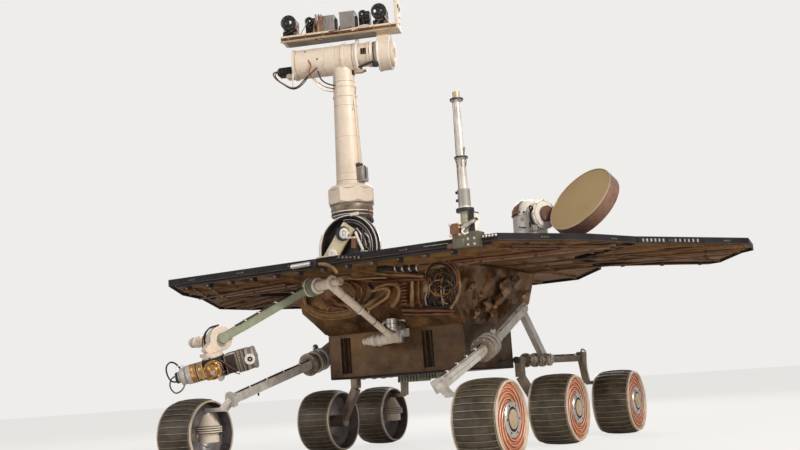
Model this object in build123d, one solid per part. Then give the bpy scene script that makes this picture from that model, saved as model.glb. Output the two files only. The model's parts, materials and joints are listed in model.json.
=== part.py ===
from build123d import *
import math
import os

# Planetary rover on six wheels, standing on flat ground.
# Millimetres. +X is the rover's left, -Y its front, +Z up, the ground is z = 0.
# The origin is on the ground, under the middle of the whole machine.

# Clearances
RUNNING_GAP = 0.3
PANEL_GAP = 3.0

# Wheels
WHEEL_RADIUS = 130.0
WHEEL_WIDTH = 155.0
CLEAT_HEIGHT = 4.0
CLEAT_WIDTH = 4.0
CLEAT_COUNT = 24
RIM_WALL = 6.0
RIM_EDGE_RADIUS = 119.0
RIM_SHOULDER = 26.0
CLEAT_END_INSET = 6.0
DISC_RECESS = 10.0
DISC_THICKNESS = 16.0
FLEXURE_COUNT = 6
FLEXURE_STEPS = 6
FLEXURE_TURN = 235.0
FLEXURE_WIDTH = 3.0
FLEXURE_HEIGHT = 3.0
HUB_RADIUS = 36.0
HUB_HEIGHT = 7.0
CAP_RADIUS = 20.0
CAP_HEIGHT = 5.0
DRIVE_RADIUS = 24.0

# Where the axles are: half track, place along the rover
FRONT_HALF_TRACK = 585.0
MIDDLE_HALF_TRACK = 516.0
REAR_HALF_TRACK = 575.0
FRONT_AXLE_Y = -625.0
MIDDLE_AXLE_Y = 139.0
REAR_AXLE_Y = 670.0

# Steering actuators, inside the open inboard face of the wheel
KINGPIN_INSET = 62.0
STEER_CONE_TOP = 78.0
STEER_CONE_BASE = 27.0
STEER_TOP_RADIUS = 15.0
STEER_BASE_RADIUS = 42.0
STEER_RING_RADIUS = 46.0
STEER_RING_HEIGHT = 5.0
STEER_RING_PITCH = 8.0
STEER_RING_COUNT = 3
STEER_BODY_RADIUS = 36.0
STEER_BODY_BOTTOM = -28.0
NECK_THICKNESS = 14.0
NECK_WIDTH = 28.0
BEND_WIDTH = 42.0
BEND_THICKNESS = 22.0

# Rocker and bogie, each side alike
ROCKER_X = 371.0
APEX_Y = 196.0
APEX_Z = 521.0
CLAMP_Y = -153.0
CLAMP_Z = 371.0
FRONT_BEND_X = 417.0
FRONT_BEND_Z = 248.0
NECK_RUN = 72.0
ROCKER_BEAM_HEIGHT = 46.0
ROCKER_BEAM_DEPTH = 30.0
LOWER_BEAM_HEIGHT = 32.0
LOWER_BEAM_DEPTH = 28.0
CLAMP_RADIUS = 34.0
CLAMP_LENGTH = 78.0
CLAMP_RING_RADIUS = 44.0
CLAMP_RING_WIDTH = 9.0
PIVOT_RADIUS = 28.0
PIVOT_SEAT_X = 332.0
BOGIE_PIVOT_Y = 404.0
BOGIE_Z = 320.0
BOGIE_REAR_X = 428.0
BOGIE_TUBE_RADIUS = 20.0
BOGIE_RING_RADIUS = 27.0
BOGIE_RING_WIDTH = 8.0
BOGIE_BEAM_HEIGHT = 26.0
BOGIE_BEAM_DEPTH = 20.0
REAR_LEG_HEIGHT = 32.0
REAR_LEG_DEPTH = 20.0
BEAM_MITRE = 7.7
LEG_MITRE = 18.0
STRUT_HEIGHT = 34.0
STRUT_DEPTH = 28.0
REAR_STRUT_DEPTH = 22.0

# Body under the deck
BOX_HALF_WIDTH = 290.0
BOX_FRONT_Y = -160.0
BOX_REAR_Y = 255.0
BOX_BOTTOM_Z = 295.0
BOX_TOP_Z = 465.0
CHANNEL_WIDTH = 16.0
CHANNEL_DEPTH = 8.0
BELLY_BOLT_SPACING_X = 480.0
BELLY_BOLT_SPACING_Y = 320.0
BELLY_BOLT_RADIUS = 4.0
BELLY_BOLT_DEPTH = 22.0
DECK_UNDERSIDE_Z = 676.0
FLARE_LOW_Z = 505.0
FLARE_HIGH_Z = 552.0
BODY_FRONT_Y = -300.0
BODY_REAR_Y = 446.0

# The deck and its fold-out panels
DECK_TOP_Z = 700.0
PANEL_THICKNESS = 12.0
RIB_WIDTH = 12.0
RIB_EDGE_INSET = 26.0
DECK_RIB_PITCH = 150.0
DECK_FRONT_Y = -646.0
DECK_FRONT_HALF = 668.0
TAIL_HINGE_Y = 440.0
TAIL_REAR_Y = 934.0
WING_ROOT_X = 632.0
WING_ROOT_Y = 138.0
WING_TIP_X = 1228.0
HINGE_RADIUS = 7.0
HINGE_LENGTH = 60.0

# Mast
MAST_X = 27.0
MAST_Y = -450.0
BRACKET_TOP_Z = 862.0
BAND_RADIUS = 74.0
BAND_TOP_Z = 902.0
COLLAR_TOP_Z = 971.0
COLLAR_FLAT = 79.0
COLLAR_TURN = 4.0
TUBE_FOOT_RADIUS = 50.0
TUBE_TOP_RADIUS = 40.0
TUBE_TOP_Z = 1372.0
CONNECTOR_TURN = -8.0
TUBE_RING_OVER = 2.5
TUBE_RING_HEIGHT = 5.0
TUBE_RINGS_Z = (1300.0, 1335.0)
DRUM_RADIUS = 114.0
DRUM_X = 16.0
DRUM_Z = 740.0
DRUM_FRONT = -66.0
DRUM_WIDTH = 26.0
DRUM_WALL = 5.0
LEVER_WIDTH = 44.0
LEVER_THICKNESS = 14.0
HEAD_YAW = 19.0
HEAD_Z = 1446.0
HEAD_RADIUS = 53.0
HEAD_LEFT = -178.0
HEAD_STEP = 12.0
HEAD_RIGHT = 120.0
HEAD_NARROW_RADIUS = 43.0
HEAD_NARROW_RISE = 8.0
HEAD_RING_OVER = 4.0
HEAD_RING_WIDTH = 8.0

# Camera bar
BAR_LEFT = -218.0
BAR_RIGHT = 219.0
BAR_RISE = 84.0
BAR_THICKNESS = 14.0
BAR_FRONT = -44.0
BAR_BACK = 36.0
BRACKET_LEFT = 137.0
BRACKET_RIGHT = 182.0
BRACKET_RADIUS = 58.0
BRACKET_TOP_WIDTH = 34.0
END_PLATE_THICKNESS = 9.0
END_PLATE_HEIGHT = 134.0
LENS_HEIGHT = 56.0
WIDE_LENS_RADIUS = 15.0
LONG_LENS_RADIUS = 27.0

# Low-gain antenna
LOW_X = 570.0
LOW_Y = -655.0
LOW_FOOT_Z = 712.0
LOW_TOP_Z = 1170.0
LOW_FLANGE_RISE = 68.0
LOW_FLANGE_THICKNESS = 10.0
LOW_SLEEVE_RISE = 140.0
LOW_BAND_RISE = 238.0
LOW_BAND_HEIGHT = 7.0
LOW_TIP_BAND_DROP = 30.0

# High-gain antenna
HIGH_X = 463.0
HIGH_Y = 140.0
HIGH_YAW = -27.1
HIGH_AXIS_Z = 860.0
PEDESTAL_TOP_Z = 762.0
PEDESTAL_RADIUS = 56.0
PEDESTAL_FLANGE_RADIUS = 78.0
PEDESTAL_FLANGE = 10.0
GIMBAL_RADIUS = 66.0
GIMBAL_DOME = 70.0
ELEVATION_RADIUS = 48.0
ELEVATION_END = 94.0
ELEVATION_RING_OVER = 8.0
ELEVATION_RING_WIDTH = 8.0
DISH_RADIUS = 140.5
DISH_THICKNESS = 55.0
DISH_RIM = 4.0
DISH_OUT = 278.0
DISH_BACK = 7.0
DISH_RISE = 24.0
DISH_TILT = 35.7
CRANK_THICKNESS = 14.0
CRANK_RADIUS = 30.0

# Arm: azimuth axis, then links in the plane that the shoulder turns
ARM_X = 40.0
ARM_Y = -242.0
ARM_Z = 429.0
ARM_YAW = -22.0
SHOULDER_REACH = 15.0
SHELF_BOTTOM = 30.0
SHELF_THICKNESS = 6.0
SHELF_RADIUS = 22.0
WEB_LENGTH = 26.0
BACK_DROP = 24.0
AZIMUTH_CAN_RADIUS = 21.0
AZIMUTH_CAN_TOP = 72.0
HUB_OUTPUT_RADIUS = 20.0
ELBOW_OUT = 270.0
ELBOW_UP = 198.0
WRIST_OUT = 633.0
WRIST_UP = 25.0
JOINT_SIDE = 5.0
TUBE_SIDE = 20.0
UPPER_TUBE_RADIUS = 12.0
TUBE_SLEEVE_RADIUS = 15.0
ACTUATOR_RADIUS = 18.0
ACTUATOR_TIP_RADIUS = 13.0
SHOULDER_TIP = -153.0
ELBOW_FACE = -67.0
ELBOW_END = 47.0
ELBOW_TIP = 91.0
ELBOW_COLLAR_RADIUS = 33.0
LINK_SIDE = -100.0
LINK_WIDTH = 29.0
LINK_THICKNESS = 14.0
WRIST_COLLAR_RADIUS = 41.0
WRIST_COLLAR_WIDTH = 30.0
WRIST_TIP = -318.0
WRIST_STEP = 92.0
TURRET_SIDE = -90.0
TURRET_OUT = 670.0
TURRET_UP = -71.0
TURRET_LEAN = -15.0
TURRET_TURN = -51.0
TURRET_RADIUS = 38.0
TURRET_HEIGHT = 70.0
TURRET_CAP = 12.0
SPECTROMETER_RISE = 1.0
SPECTROMETER_RADIUS = 31.0
TOOL_TOP = -30.0

def centred(shape_class, *sizes):
    """A cylinder, cone or box that stands on its own origin."""
    return shape_class(*sizes, align=(Align.CENTER, Align.CENTER, Align.MIN))


def along(start, end, side=(0, 0, 1)):
    """Frame at start whose Z runs to end and whose X lies nearest to side."""
    run = Vector(*end) - Vector(*start)
    hint = Vector(*side)
    across = hint - run.normalized() * hint.dot(run.normalized())
    return Plane(origin=start, x_dir=across, z_dir=run), run.length


def rod(start, end, radius, end_radius=None):
    """Round bar, or a tapered one, from start to end."""
    plane, length = along(start, end, (0.31, 0.17, 0.93))
    if end_radius is None:
        return plane.location * centred(Cylinder, radius, length)
    return plane.location * centred(Cone, radius, end_radius, length)


def beam(start, end, height, depth, up=(0, 0, 1)):
    """Box beam: height lies along up, depth across it."""
    plane, length = along(start, end, up)
    return plane.location * centred(Box, height, depth, length)


def block(x0, x1, y0, y1, z0, z1):
    """Box between six limits."""
    return Pos(x0, y0, z0) * Box(x1 - x0, y1 - y0, z1 - z0, align=(Align.MIN,) * 3)


def turned(points):
    """Solid of revolution about Z from (radius, height) corners."""
    face = make_face(Polyline(*[(r, 0, z) for r, z in points], close=True))
    return revolve(face, Axis.Z)


def plate(points, bottom, thickness):
    """Flat plate with a straight-sided outline."""
    face = make_face(Polyline(*[(x, y, bottom) for x, y in points], close=True))
    return extrude(face, thickness, dir=(0, 0, 1))


def fused(solids):
    """One solid from pieces that overlap or share a face."""
    solids = list(solids)
    return solids[0].fuse(*solids[1:]) if len(solids) > 1 else solids[0]


def mirrored(shape):
    """The same piece on the rover's right side."""
    return mirror(shape, about=Plane.YZ)


parts = {}


def keep(name, *shapes):
    """Store one node, as one solid or as solids that do not touch."""
    solids = [solid for shape in shapes for solid in shape.solids()]
    parts[name] = Compound(children=solids) if len(solids) > 1 else solids[0]


# Wheel, in its own frame: axle along X, outboard face at +X
def wheel_rim():
    """Thin crowned drum, open inboard, with a raised cleat along each of its edges."""
    half = WHEEL_WIDTH / 2
    crown = WHEEL_RADIUS - CLEAT_HEIGHT
    shoulder = half - RIM_SHOULDER
    outer = [(RIM_EDGE_RADIUS, -half), (crown, -shoulder), (crown, shoulder), (RIM_EDGE_RADIUS, half)]

    def drum(sections):
        faces = [Plane(origin=(x, 0, 0), x_dir=(0, 0, -1), z_dir=(1, 0, 0)).location
                 * RegularPolygon(r, CLEAT_COUNT) for r, x in sections]
        return loft(faces, ruled=True)

    root = crown - RIM_WALL / 2
    end = half - CLEAT_END_INSET
    end_root = RIM_EDGE_RADIUS - RIM_WALL / 2
    outline = [(-end, end_root), (-shoulder, root), (shoulder, root), (end, end_root),
               (end, RIM_EDGE_RADIUS + 1), (shoulder, WHEEL_RADIUS), (-shoulder, WHEEL_RADIUS),
               (-end, RIM_EDGE_RADIUS + 1)]
    face = make_face(Polyline(*[(x, 0, -r) for x, r in outline], close=True))
    cleat = extrude(face, CLEAT_WIDTH / 2, dir=(0, 1, 0), both=True)
    cleats = [Rot(turn * 360 / CLEAT_COUNT, 0, 0) * cleat for turn in range(CLEAT_COUNT)]
    return fused([drum(outer) - drum([(r - RIM_WALL, x) for r, x in outer])] + cleats)


def flexure(start_turn, inner, outer, face_x):
    """One raised spiral blade, from the hub ring out to the rim."""
    middle = []
    for step in range(FLEXURE_STEPS + 1):
        share = step / FLEXURE_STEPS
        turn = math.radians(start_turn + FLEXURE_TURN * share)
        middle.append((inner + (outer - inner) * share, turn))
    near = [(r - FLEXURE_WIDTH / 2, t) for r, t in middle]
    far = [(r + FLEXURE_WIDTH / 2, t) for r, t in reversed(middle)]
    points = [(face_x, r * math.cos(t), r * math.sin(t)) for r, t in near + far]
    return extrude(make_face(Polyline(*points, close=True)), FLEXURE_HEIGHT, dir=(1, 0, 0))


def wheel_disc():
    """Foam-filled outboard disc with spiral flexures, hub ring and cap."""
    back_x = WHEEL_WIDTH / 2 - DISC_RECESS - DISC_THICKNESS
    face_x = back_x + DISC_THICKNESS
    share = DISC_RECESS / RIM_SHOULDER
    rim_here = RIM_EDGE_RADIUS + (WHEEL_RADIUS - CLEAT_HEIGHT - RIM_EDGE_RADIUS) * share
    radius = (rim_here - RIM_WALL) * math.cos(math.pi / CLEAT_COUNT) - RUNNING_GAP
    foam = Rot(0, 90, 0) * Pos(0, 0, back_x) * centred(Cylinder, radius, DISC_THICKNESS)
    hub = Rot(0, 90, 0) * Pos(0, 0, face_x) * centred(Cylinder, HUB_RADIUS, HUB_HEIGHT)
    cap = Rot(0, 90, 0) * Pos(0, 0, face_x + HUB_HEIGHT) * centred(Cone, CAP_RADIUS, CAP_RADIUS - 6, CAP_HEIGHT)
    blades = [flexure(turn * 360 / FLEXURE_COUNT, HUB_RADIUS + 1, radius - FLEXURE_WIDTH, face_x)
              for turn in range(FLEXURE_COUNT)]
    return fused([foam, hub, cap] + blades)


def drive_unit(inboard_x):
    """Motor and gearbox on the axle, up to the back of the disc."""
    disc_back = WHEEL_WIDTH / 2 - DISC_RECESS - DISC_THICKNESS
    body = rod((inboard_x, 0, 0), (disc_back - 12, 0, 0), DRIVE_RADIUS)
    flange = rod((disc_back - 12, 0, 0), (disc_back - RUNNING_GAP, 0, 0), DRIVE_RADIUS + 8)
    return [body, flange]


def steering_unit():
    """Steering actuator: cone, three rings and can on the kingpin, with the wheel's drive."""
    profile = [(0, STEER_CONE_TOP - RUNNING_GAP), (STEER_TOP_RADIUS, STEER_CONE_TOP - RUNNING_GAP),
               (STEER_BASE_RADIUS, STEER_CONE_BASE)]
    for ring in range(STEER_RING_COUNT):
        top = STEER_CONE_BASE - ring * STEER_RING_PITCH
        profile += [(STEER_RING_RADIUS, top), (STEER_RING_RADIUS, top - STEER_RING_HEIGHT),
                    (STEER_BASE_RADIUS, top - STEER_RING_HEIGHT),
                    (STEER_BASE_RADIUS, top - STEER_RING_PITCH)]
    last = STEER_CONE_BASE - STEER_RING_COUNT * STEER_RING_PITCH
    profile += [(STEER_BODY_RADIUS, last), (STEER_BODY_RADIUS, STEER_BODY_BOTTOM), (0, STEER_BODY_BOTTOM)]
    cone = Pos(-KINGPIN_INSET, 0, 0) * turned(profile)
    return fused([cone] + drive_unit(-KINGPIN_INSET))


def wheels_and_steering():
    rim = wheel_rim()
    disc = wheel_disc()
    knuckle = steering_unit()
    axles = [("front", FRONT_HALF_TRACK, FRONT_AXLE_Y, True),
             ("middle", MIDDLE_HALF_TRACK, MIDDLE_AXLE_Y, False),
             ("rear", REAR_HALF_TRACK, REAR_AXLE_Y, True)]
    for axle, half_track, axle_y, steered in axles:
        place = Pos(half_track, axle_y, WHEEL_RADIUS)
        pieces = {"wheel_rim": rim, "wheel_disc": disc}
        if steered:
            pieces["steering_unit"] = knuckle
        for piece, shape in pieces.items():
            left = place * shape
            keep(f"{piece}_{axle}_left", left)
            keep(f"{piece}_{axle}_right", mirrored(left))


def neck(axle_x, axle_y):
    """Flat plate into the wheel's open side, with the round pad over the kingpin."""
    kingpin_x = axle_x - KINGPIN_INSET
    pad_z = WHEEL_RADIUS + STEER_CONE_TOP
    pad = Pos(kingpin_x, axle_y, pad_z) * centred(Cylinder, NECK_WIDTH / 2, NECK_THICKNESS)
    link = block(kingpin_x - NECK_RUN, kingpin_x, axle_y - NECK_WIDTH / 2, axle_y + NECK_WIDTH / 2,
                 pad_z, pad_z + NECK_THICKNESS)
    return [pad, link]


def neck_end(axle_x, axle_y):
    """Where the strut from above meets the neck."""
    return (axle_x - KINGPIN_INSET - NECK_RUN, axle_y, WHEEL_RADIUS + STEER_CONE_TOP + NECK_THICKNESS / 2)


def rocker():
    """Front and rear legs of one side, from the body pivot to the front wheel and the bogie."""
    apex = (ROCKER_X, APEX_Y, APEX_Z)
    clamp = (ROCKER_X, CLAMP_Y, CLAMP_Z)
    bend = (FRONT_BEND_X, FRONT_AXLE_Y + 4, FRONT_BEND_Z)
    leg_foot = (ROCKER_X, BOGIE_PIVOT_Y, BOGIE_Z)
    down = Vector(*bend) - Vector(*clamp)
    half_clamp = down.normalized() * (CLAMP_LENGTH / 2)
    clamp_top = Vector(*clamp) - half_clamp
    clamp_foot = Vector(*clamp) + half_clamp
    slope = (Vector(*clamp) - Vector(*apex)).normalized()
    drop = (Vector(*leg_foot) - Vector(*apex)).normalized()
    pieces = [beam(Vector(*apex) - slope * BEAM_MITRE, clamp, ROCKER_BEAM_HEIGHT, ROCKER_BEAM_DEPTH),
              beam(clamp, bend, LOWER_BEAM_HEIGHT, LOWER_BEAM_DEPTH),
              rod(clamp_top, clamp_foot, CLAMP_RADIUS),
              beam(Vector(*apex) - drop * LEG_MITRE, leg_foot, REAR_LEG_HEIGHT, REAR_LEG_DEPTH),
              rod((PIVOT_SEAT_X, APEX_Y, APEX_Z), (ROCKER_X + ROCKER_BEAM_DEPTH / 2 + 3, APEX_Y, APEX_Z),
                  PIVOT_RADIUS - 8)]
    for share in (0.0, 0.5, 1.0):
        middle = clamp_top + (clamp_foot - clamp_top) * share
        step = down.normalized() * (CLAMP_RING_WIDTH / 2)
        pieces.append(rod(middle - step, middle + step, CLAMP_RING_RADIUS))
    pieces += neck(FRONT_HALF_TRACK, FRONT_AXLE_Y)
    foot = neck_end(FRONT_HALF_TRACK, FRONT_AXLE_Y)
    pieces.append(beam(bend, foot, BEND_THICKNESS, NECK_WIDTH, (0.6, 0, 1)))
    knee = Plane(origin=bend, x_dir=(0, 1, 0), z_dir=down)
    pieces.append(knee.location * Box(BEND_WIDTH, BEND_WIDTH, BEND_THICKNESS))
    pieces.append(Pos(*foot) * Pos(0, 0, -NECK_THICKNESS / 2) * centred(Cylinder, NECK_WIDTH / 2, NECK_THICKNESS))
    return fused(pieces)


def bogie():
    """Rear arm of one side, carrying the middle and the rear wheel."""
    front = (ROCKER_X, MIDDLE_AXLE_Y - STRUT_HEIGHT / 2, BOGIE_Z)
    pivot = (ROCKER_X, BOGIE_PIVOT_Y, BOGIE_Z)
    tail = (BOGIE_REAR_X, REAR_AXLE_Y - 8, BOGIE_Z)
    low = neck_end(REAR_HALF_TRACK, REAR_AXLE_Y)
    knee = (ROCKER_X, MIDDLE_AXLE_Y, BOGIE_Z - 62)
    drive_x = MIDDLE_HALF_TRACK - WHEEL_WIDTH / 2 + 4
    hip = (drive_x, MIDDLE_AXLE_Y, WHEEL_RADIUS)
    pieces = [beam(front, pivot, BOGIE_BEAM_HEIGHT, BOGIE_BEAM_DEPTH),
              rod((ROCKER_X, MIDDLE_AXLE_Y + 60, BOGIE_Z), (ROCKER_X, BOGIE_PIVOT_Y - 30, BOGIE_Z),
                  BOGIE_TUBE_RADIUS),
              beam(pivot, tail, BOGIE_BEAM_HEIGHT, BOGIE_BEAM_DEPTH),
              beam((ROCKER_X, MIDDLE_AXLE_Y, BOGIE_Z + BOGIE_BEAM_HEIGHT / 2), knee, STRUT_HEIGHT, STRUT_DEPTH,
                   (0, 1, 0)),
              beam(knee, hip, STRUT_HEIGHT, STRUT_DEPTH, (0, 1, 0)),
              beam((tail[0], tail[1], tail[2] + BOGIE_BEAM_HEIGHT / 2), low, STRUT_HEIGHT, REAR_STRUT_DEPTH,
                   (0, 1, 0))]
    for ring_y in (MIDDLE_AXLE_Y + 60, MIDDLE_AXLE_Y + 150, BOGIE_PIVOT_Y - 38):
        pieces.append(rod((ROCKER_X, ring_y, BOGIE_Z), (ROCKER_X, ring_y + BOGIE_RING_WIDTH, BOGIE_Z),
                          BOGIE_RING_RADIUS))
    pieces += neck(REAR_HALF_TRACK, REAR_AXLE_Y)
    place = Pos(MIDDLE_HALF_TRACK, MIDDLE_AXLE_Y, WHEEL_RADIUS)
    pieces += [place * piece for piece in drive_unit(4 - WHEEL_WIDTH / 2 - STRUT_DEPTH / 2)]
    return fused(pieces)


def suspension():
    """The rocker carries its bogie on a pin; both are locked in this model."""
    pin = rod((ROCKER_X - 30, BOGIE_PIVOT_Y, BOGIE_Z), (ROCKER_X + 30, BOGIE_PIVOT_Y, BOGIE_Z), 16)
    seat = rod((ROCKER_X - 40, BOGIE_PIVOT_Y, BOGIE_Z), (ROCKER_X + 40, BOGIE_PIVOT_Y, BOGIE_Z), 16 + RUNNING_GAP)
    slot = block(ROCKER_X - REAR_LEG_DEPTH / 2 - RUNNING_GAP, ROCKER_X + REAR_LEG_DEPTH / 2 + RUNNING_GAP,
                 BOGIE_PIVOT_Y - 52, BOGIE_PIVOT_Y + 40, BOGIE_Z - 30, BOGIE_Z + 60)
    boss = rod((ROCKER_X - 24, BOGIE_PIVOT_Y, BOGIE_Z), (ROCKER_X + 24, BOGIE_PIVOT_Y, BOGIE_Z), 25)
    left_rocker = fused([rocker(), pin])
    left_bogie = fused([bogie(), boss]) - slot - seat
    keep("rocker_left", left_rocker)
    keep("rocker_right", mirrored(left_rocker))
    keep("bogie_left", left_bogie)
    keep("bogie_right", mirrored(left_bogie))


def body():
    """Electronics box below and the flared, foil-wrapped body between it and the deck."""
    box = block(-BOX_HALF_WIDTH, BOX_HALF_WIDTH, BOX_FRONT_Y, BOX_REAR_Y, BOX_BOTTOM_Z, BOX_TOP_Z)
    for channel_x in (-228, -206, 130, 152):
        box -= block(channel_x - CHANNEL_WIDTH / 2, channel_x + CHANNEL_WIDTH / 2 - 4, BOX_FRONT_Y - 1,
                     BOX_FRONT_Y + CHANNEL_DEPTH, BOX_BOTTOM_Z + 20, BOX_TOP_Z - 14)
    middle_y = (BOX_FRONT_Y + BOX_REAR_Y) / 2
    for side in (-1, 1):
        for end in (-1, 1):
            box -= Pos(side * BELLY_BOLT_SPACING_X / 2, middle_y + end * BELLY_BOLT_SPACING_Y / 2,
                       BOX_BOTTOM_Z - 1) * centred(Cylinder, BELLY_BOLT_RADIUS, BELLY_BOLT_DEPTH + 1)
    keep("electronics_box", box)
    # Sections: height, half width, front, rear
    sections = [(BOX_TOP_Z, BOX_HALF_WIDTH + 4, BOX_FRONT_Y - 4, BOX_REAR_Y + 10),
                (FLARE_LOW_Z, BOX_HALF_WIDTH + 14, BODY_FRONT_Y + 80, BODY_REAR_Y - 126),
                (FLARE_HIGH_Z, BOX_HALF_WIDTH + 32, BODY_FRONT_Y + 18, BODY_REAR_Y - 56),
                (DECK_UNDERSIDE_Z, BOX_HALF_WIDTH + 44, BODY_FRONT_Y, BODY_REAR_Y)]
    faces = []
    for height, half, front, rear in sections:
        outline = Rectangle(2 * half, rear - front)
        faces.append(Pos(0, (front + rear) / 2, height) * outline)
    flared = loft(faces, ruled=True)
    boss = rod((BOX_HALF_WIDTH - 40, APEX_Y, APEX_Z), (PIVOT_SEAT_X, APEX_Y, APEX_Z), PIVOT_RADIUS + 8)
    keep("upper_body", fused([flared, boss, mirrored(boss)]))
    keep("belly_boxes", block(-60, 30, -50, 50, BOX_BOTTOM_Z - 26, BOX_BOTTOM_Z),
         block(50, 100, -30, 40, BOX_BOTTOM_Z - 20, BOX_BOTTOM_Z))


def panel(outline, ribs):
    """Solar panel: thin plate with stiffening ribs under it."""
    bottom = DECK_TOP_Z - PANEL_THICKNESS
    skin = plate(outline, bottom, PANEL_THICKNESS)
    under = plate(outline, DECK_UNDERSIDE_Z, bottom - DECK_UNDERSIDE_Z)
    inset = offset(make_face(Polyline(*[(x, y, 0) for x, y in outline], close=True)), -RIB_EDGE_INSET)
    room = Pos(0, 0, DECK_UNDERSIDE_Z) * extrude(inset, bottom - DECK_UNDERSIDE_Z)
    solids = [skin]
    for rib in ribs:
        solids += (rib & under & room).solids()
    return fused(solids)


def half_outline():
    """Front corner to wing root on the left: x, y."""
    return [(DECK_FRONT_HALF, DECK_FRONT_Y), (862, -350), (950, -122)]


def solar_deck():
    side = half_outline()
    root = (WING_ROOT_X, WING_ROOT_Y)
    waist = (WING_ROOT_X, TAIL_HINGE_Y - PANEL_GAP)
    left = side + [root, waist]
    deck_outline = left + [(-x, y) for x, y in reversed(left)]
    low = DECK_UNDERSIDE_Z
    high = DECK_TOP_Z - PANEL_THICKNESS
    long_ribs = []
    for index in range(-5, 6):
        middle = index * DECK_RIB_PITCH
        long_ribs.append(block(middle - RIB_WIDTH / 2, middle + RIB_WIDTH / 2, DECK_FRONT_Y, TAIL_HINGE_Y, low, high))
    cross_ribs = [block(-WING_TIP_X, WING_TIP_X, y - RIB_WIDTH / 2, y + RIB_WIDTH / 2, low, high)
                  for y in (DECK_FRONT_Y + 36, DECK_FRONT_Y + 316, TAIL_HINGE_Y - 30)]
    keep("solar_deck", panel(deck_outline, long_ribs + cross_ribs))

    wing = [(side[-1][0] + PANEL_GAP, side[-1][1] + PANEL_GAP), (1112, 142), (WING_TIP_X, 332), (1200, 555),
            (1145, 610), (1000, 885), (945, 910), (WING_ROOT_X + PANEL_GAP, 450),
            (WING_ROOT_X + PANEL_GAP, WING_ROOT_Y + 2 * PANEL_GAP)]
    wing_ribs = []
    for index in range(5):
        foot = (690 + 62 * index, -70 + 130 * index)
        tip = (foot[0] + 700, foot[1] + 420)
        start = (foot[0] - 200, foot[1] - 120)
        wing_ribs.append(beam((*start, (low + high) / 2), (*tip, (low + high) / 2), high - low, RIB_WIDTH))
    left_wing = panel(wing, wing_ribs)
    keep("solar_wing_left", left_wing)
    keep("solar_wing_right", mirrored(left_wing))

    half_tail = [(600, TAIL_HINGE_Y), (580, 585), (435, 804), (357, 925), (200, TAIL_REAR_Y)]
    tail = half_tail + [(-x, y) for x, y in reversed(half_tail)]
    tail_ribs = [block(x - RIB_WIDTH / 2, x + RIB_WIDTH / 2, TAIL_HINGE_Y, TAIL_REAR_Y, low, high)
                 for x in (-370, -185, 0, 185, 370)]
    keep("solar_tail", panel(tail, tail_ribs))

    hinges = []
    for y in (210, 370):
        x = WING_ROOT_X + PANEL_GAP / 2
        knuckle = rod((x, y - HINGE_LENGTH / 2, DECK_TOP_Z + HINGE_RADIUS),
                      (x, y + HINGE_LENGTH / 2, DECK_TOP_Z + HINGE_RADIUS), HINGE_RADIUS)
        hinges += [knuckle, mirrored(knuckle)]
    for x in (-420, 0, 420):
        y = TAIL_HINGE_Y - PANEL_GAP / 2
        hinges.append(rod((x - HINGE_LENGTH / 2, y, DECK_TOP_Z + HINGE_RADIUS),
                          (x + HINGE_LENGTH / 2, y, DECK_TOP_Z + HINGE_RADIUS), HINGE_RADIUS))
    keep("panel_hinges", *hinges)


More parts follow.
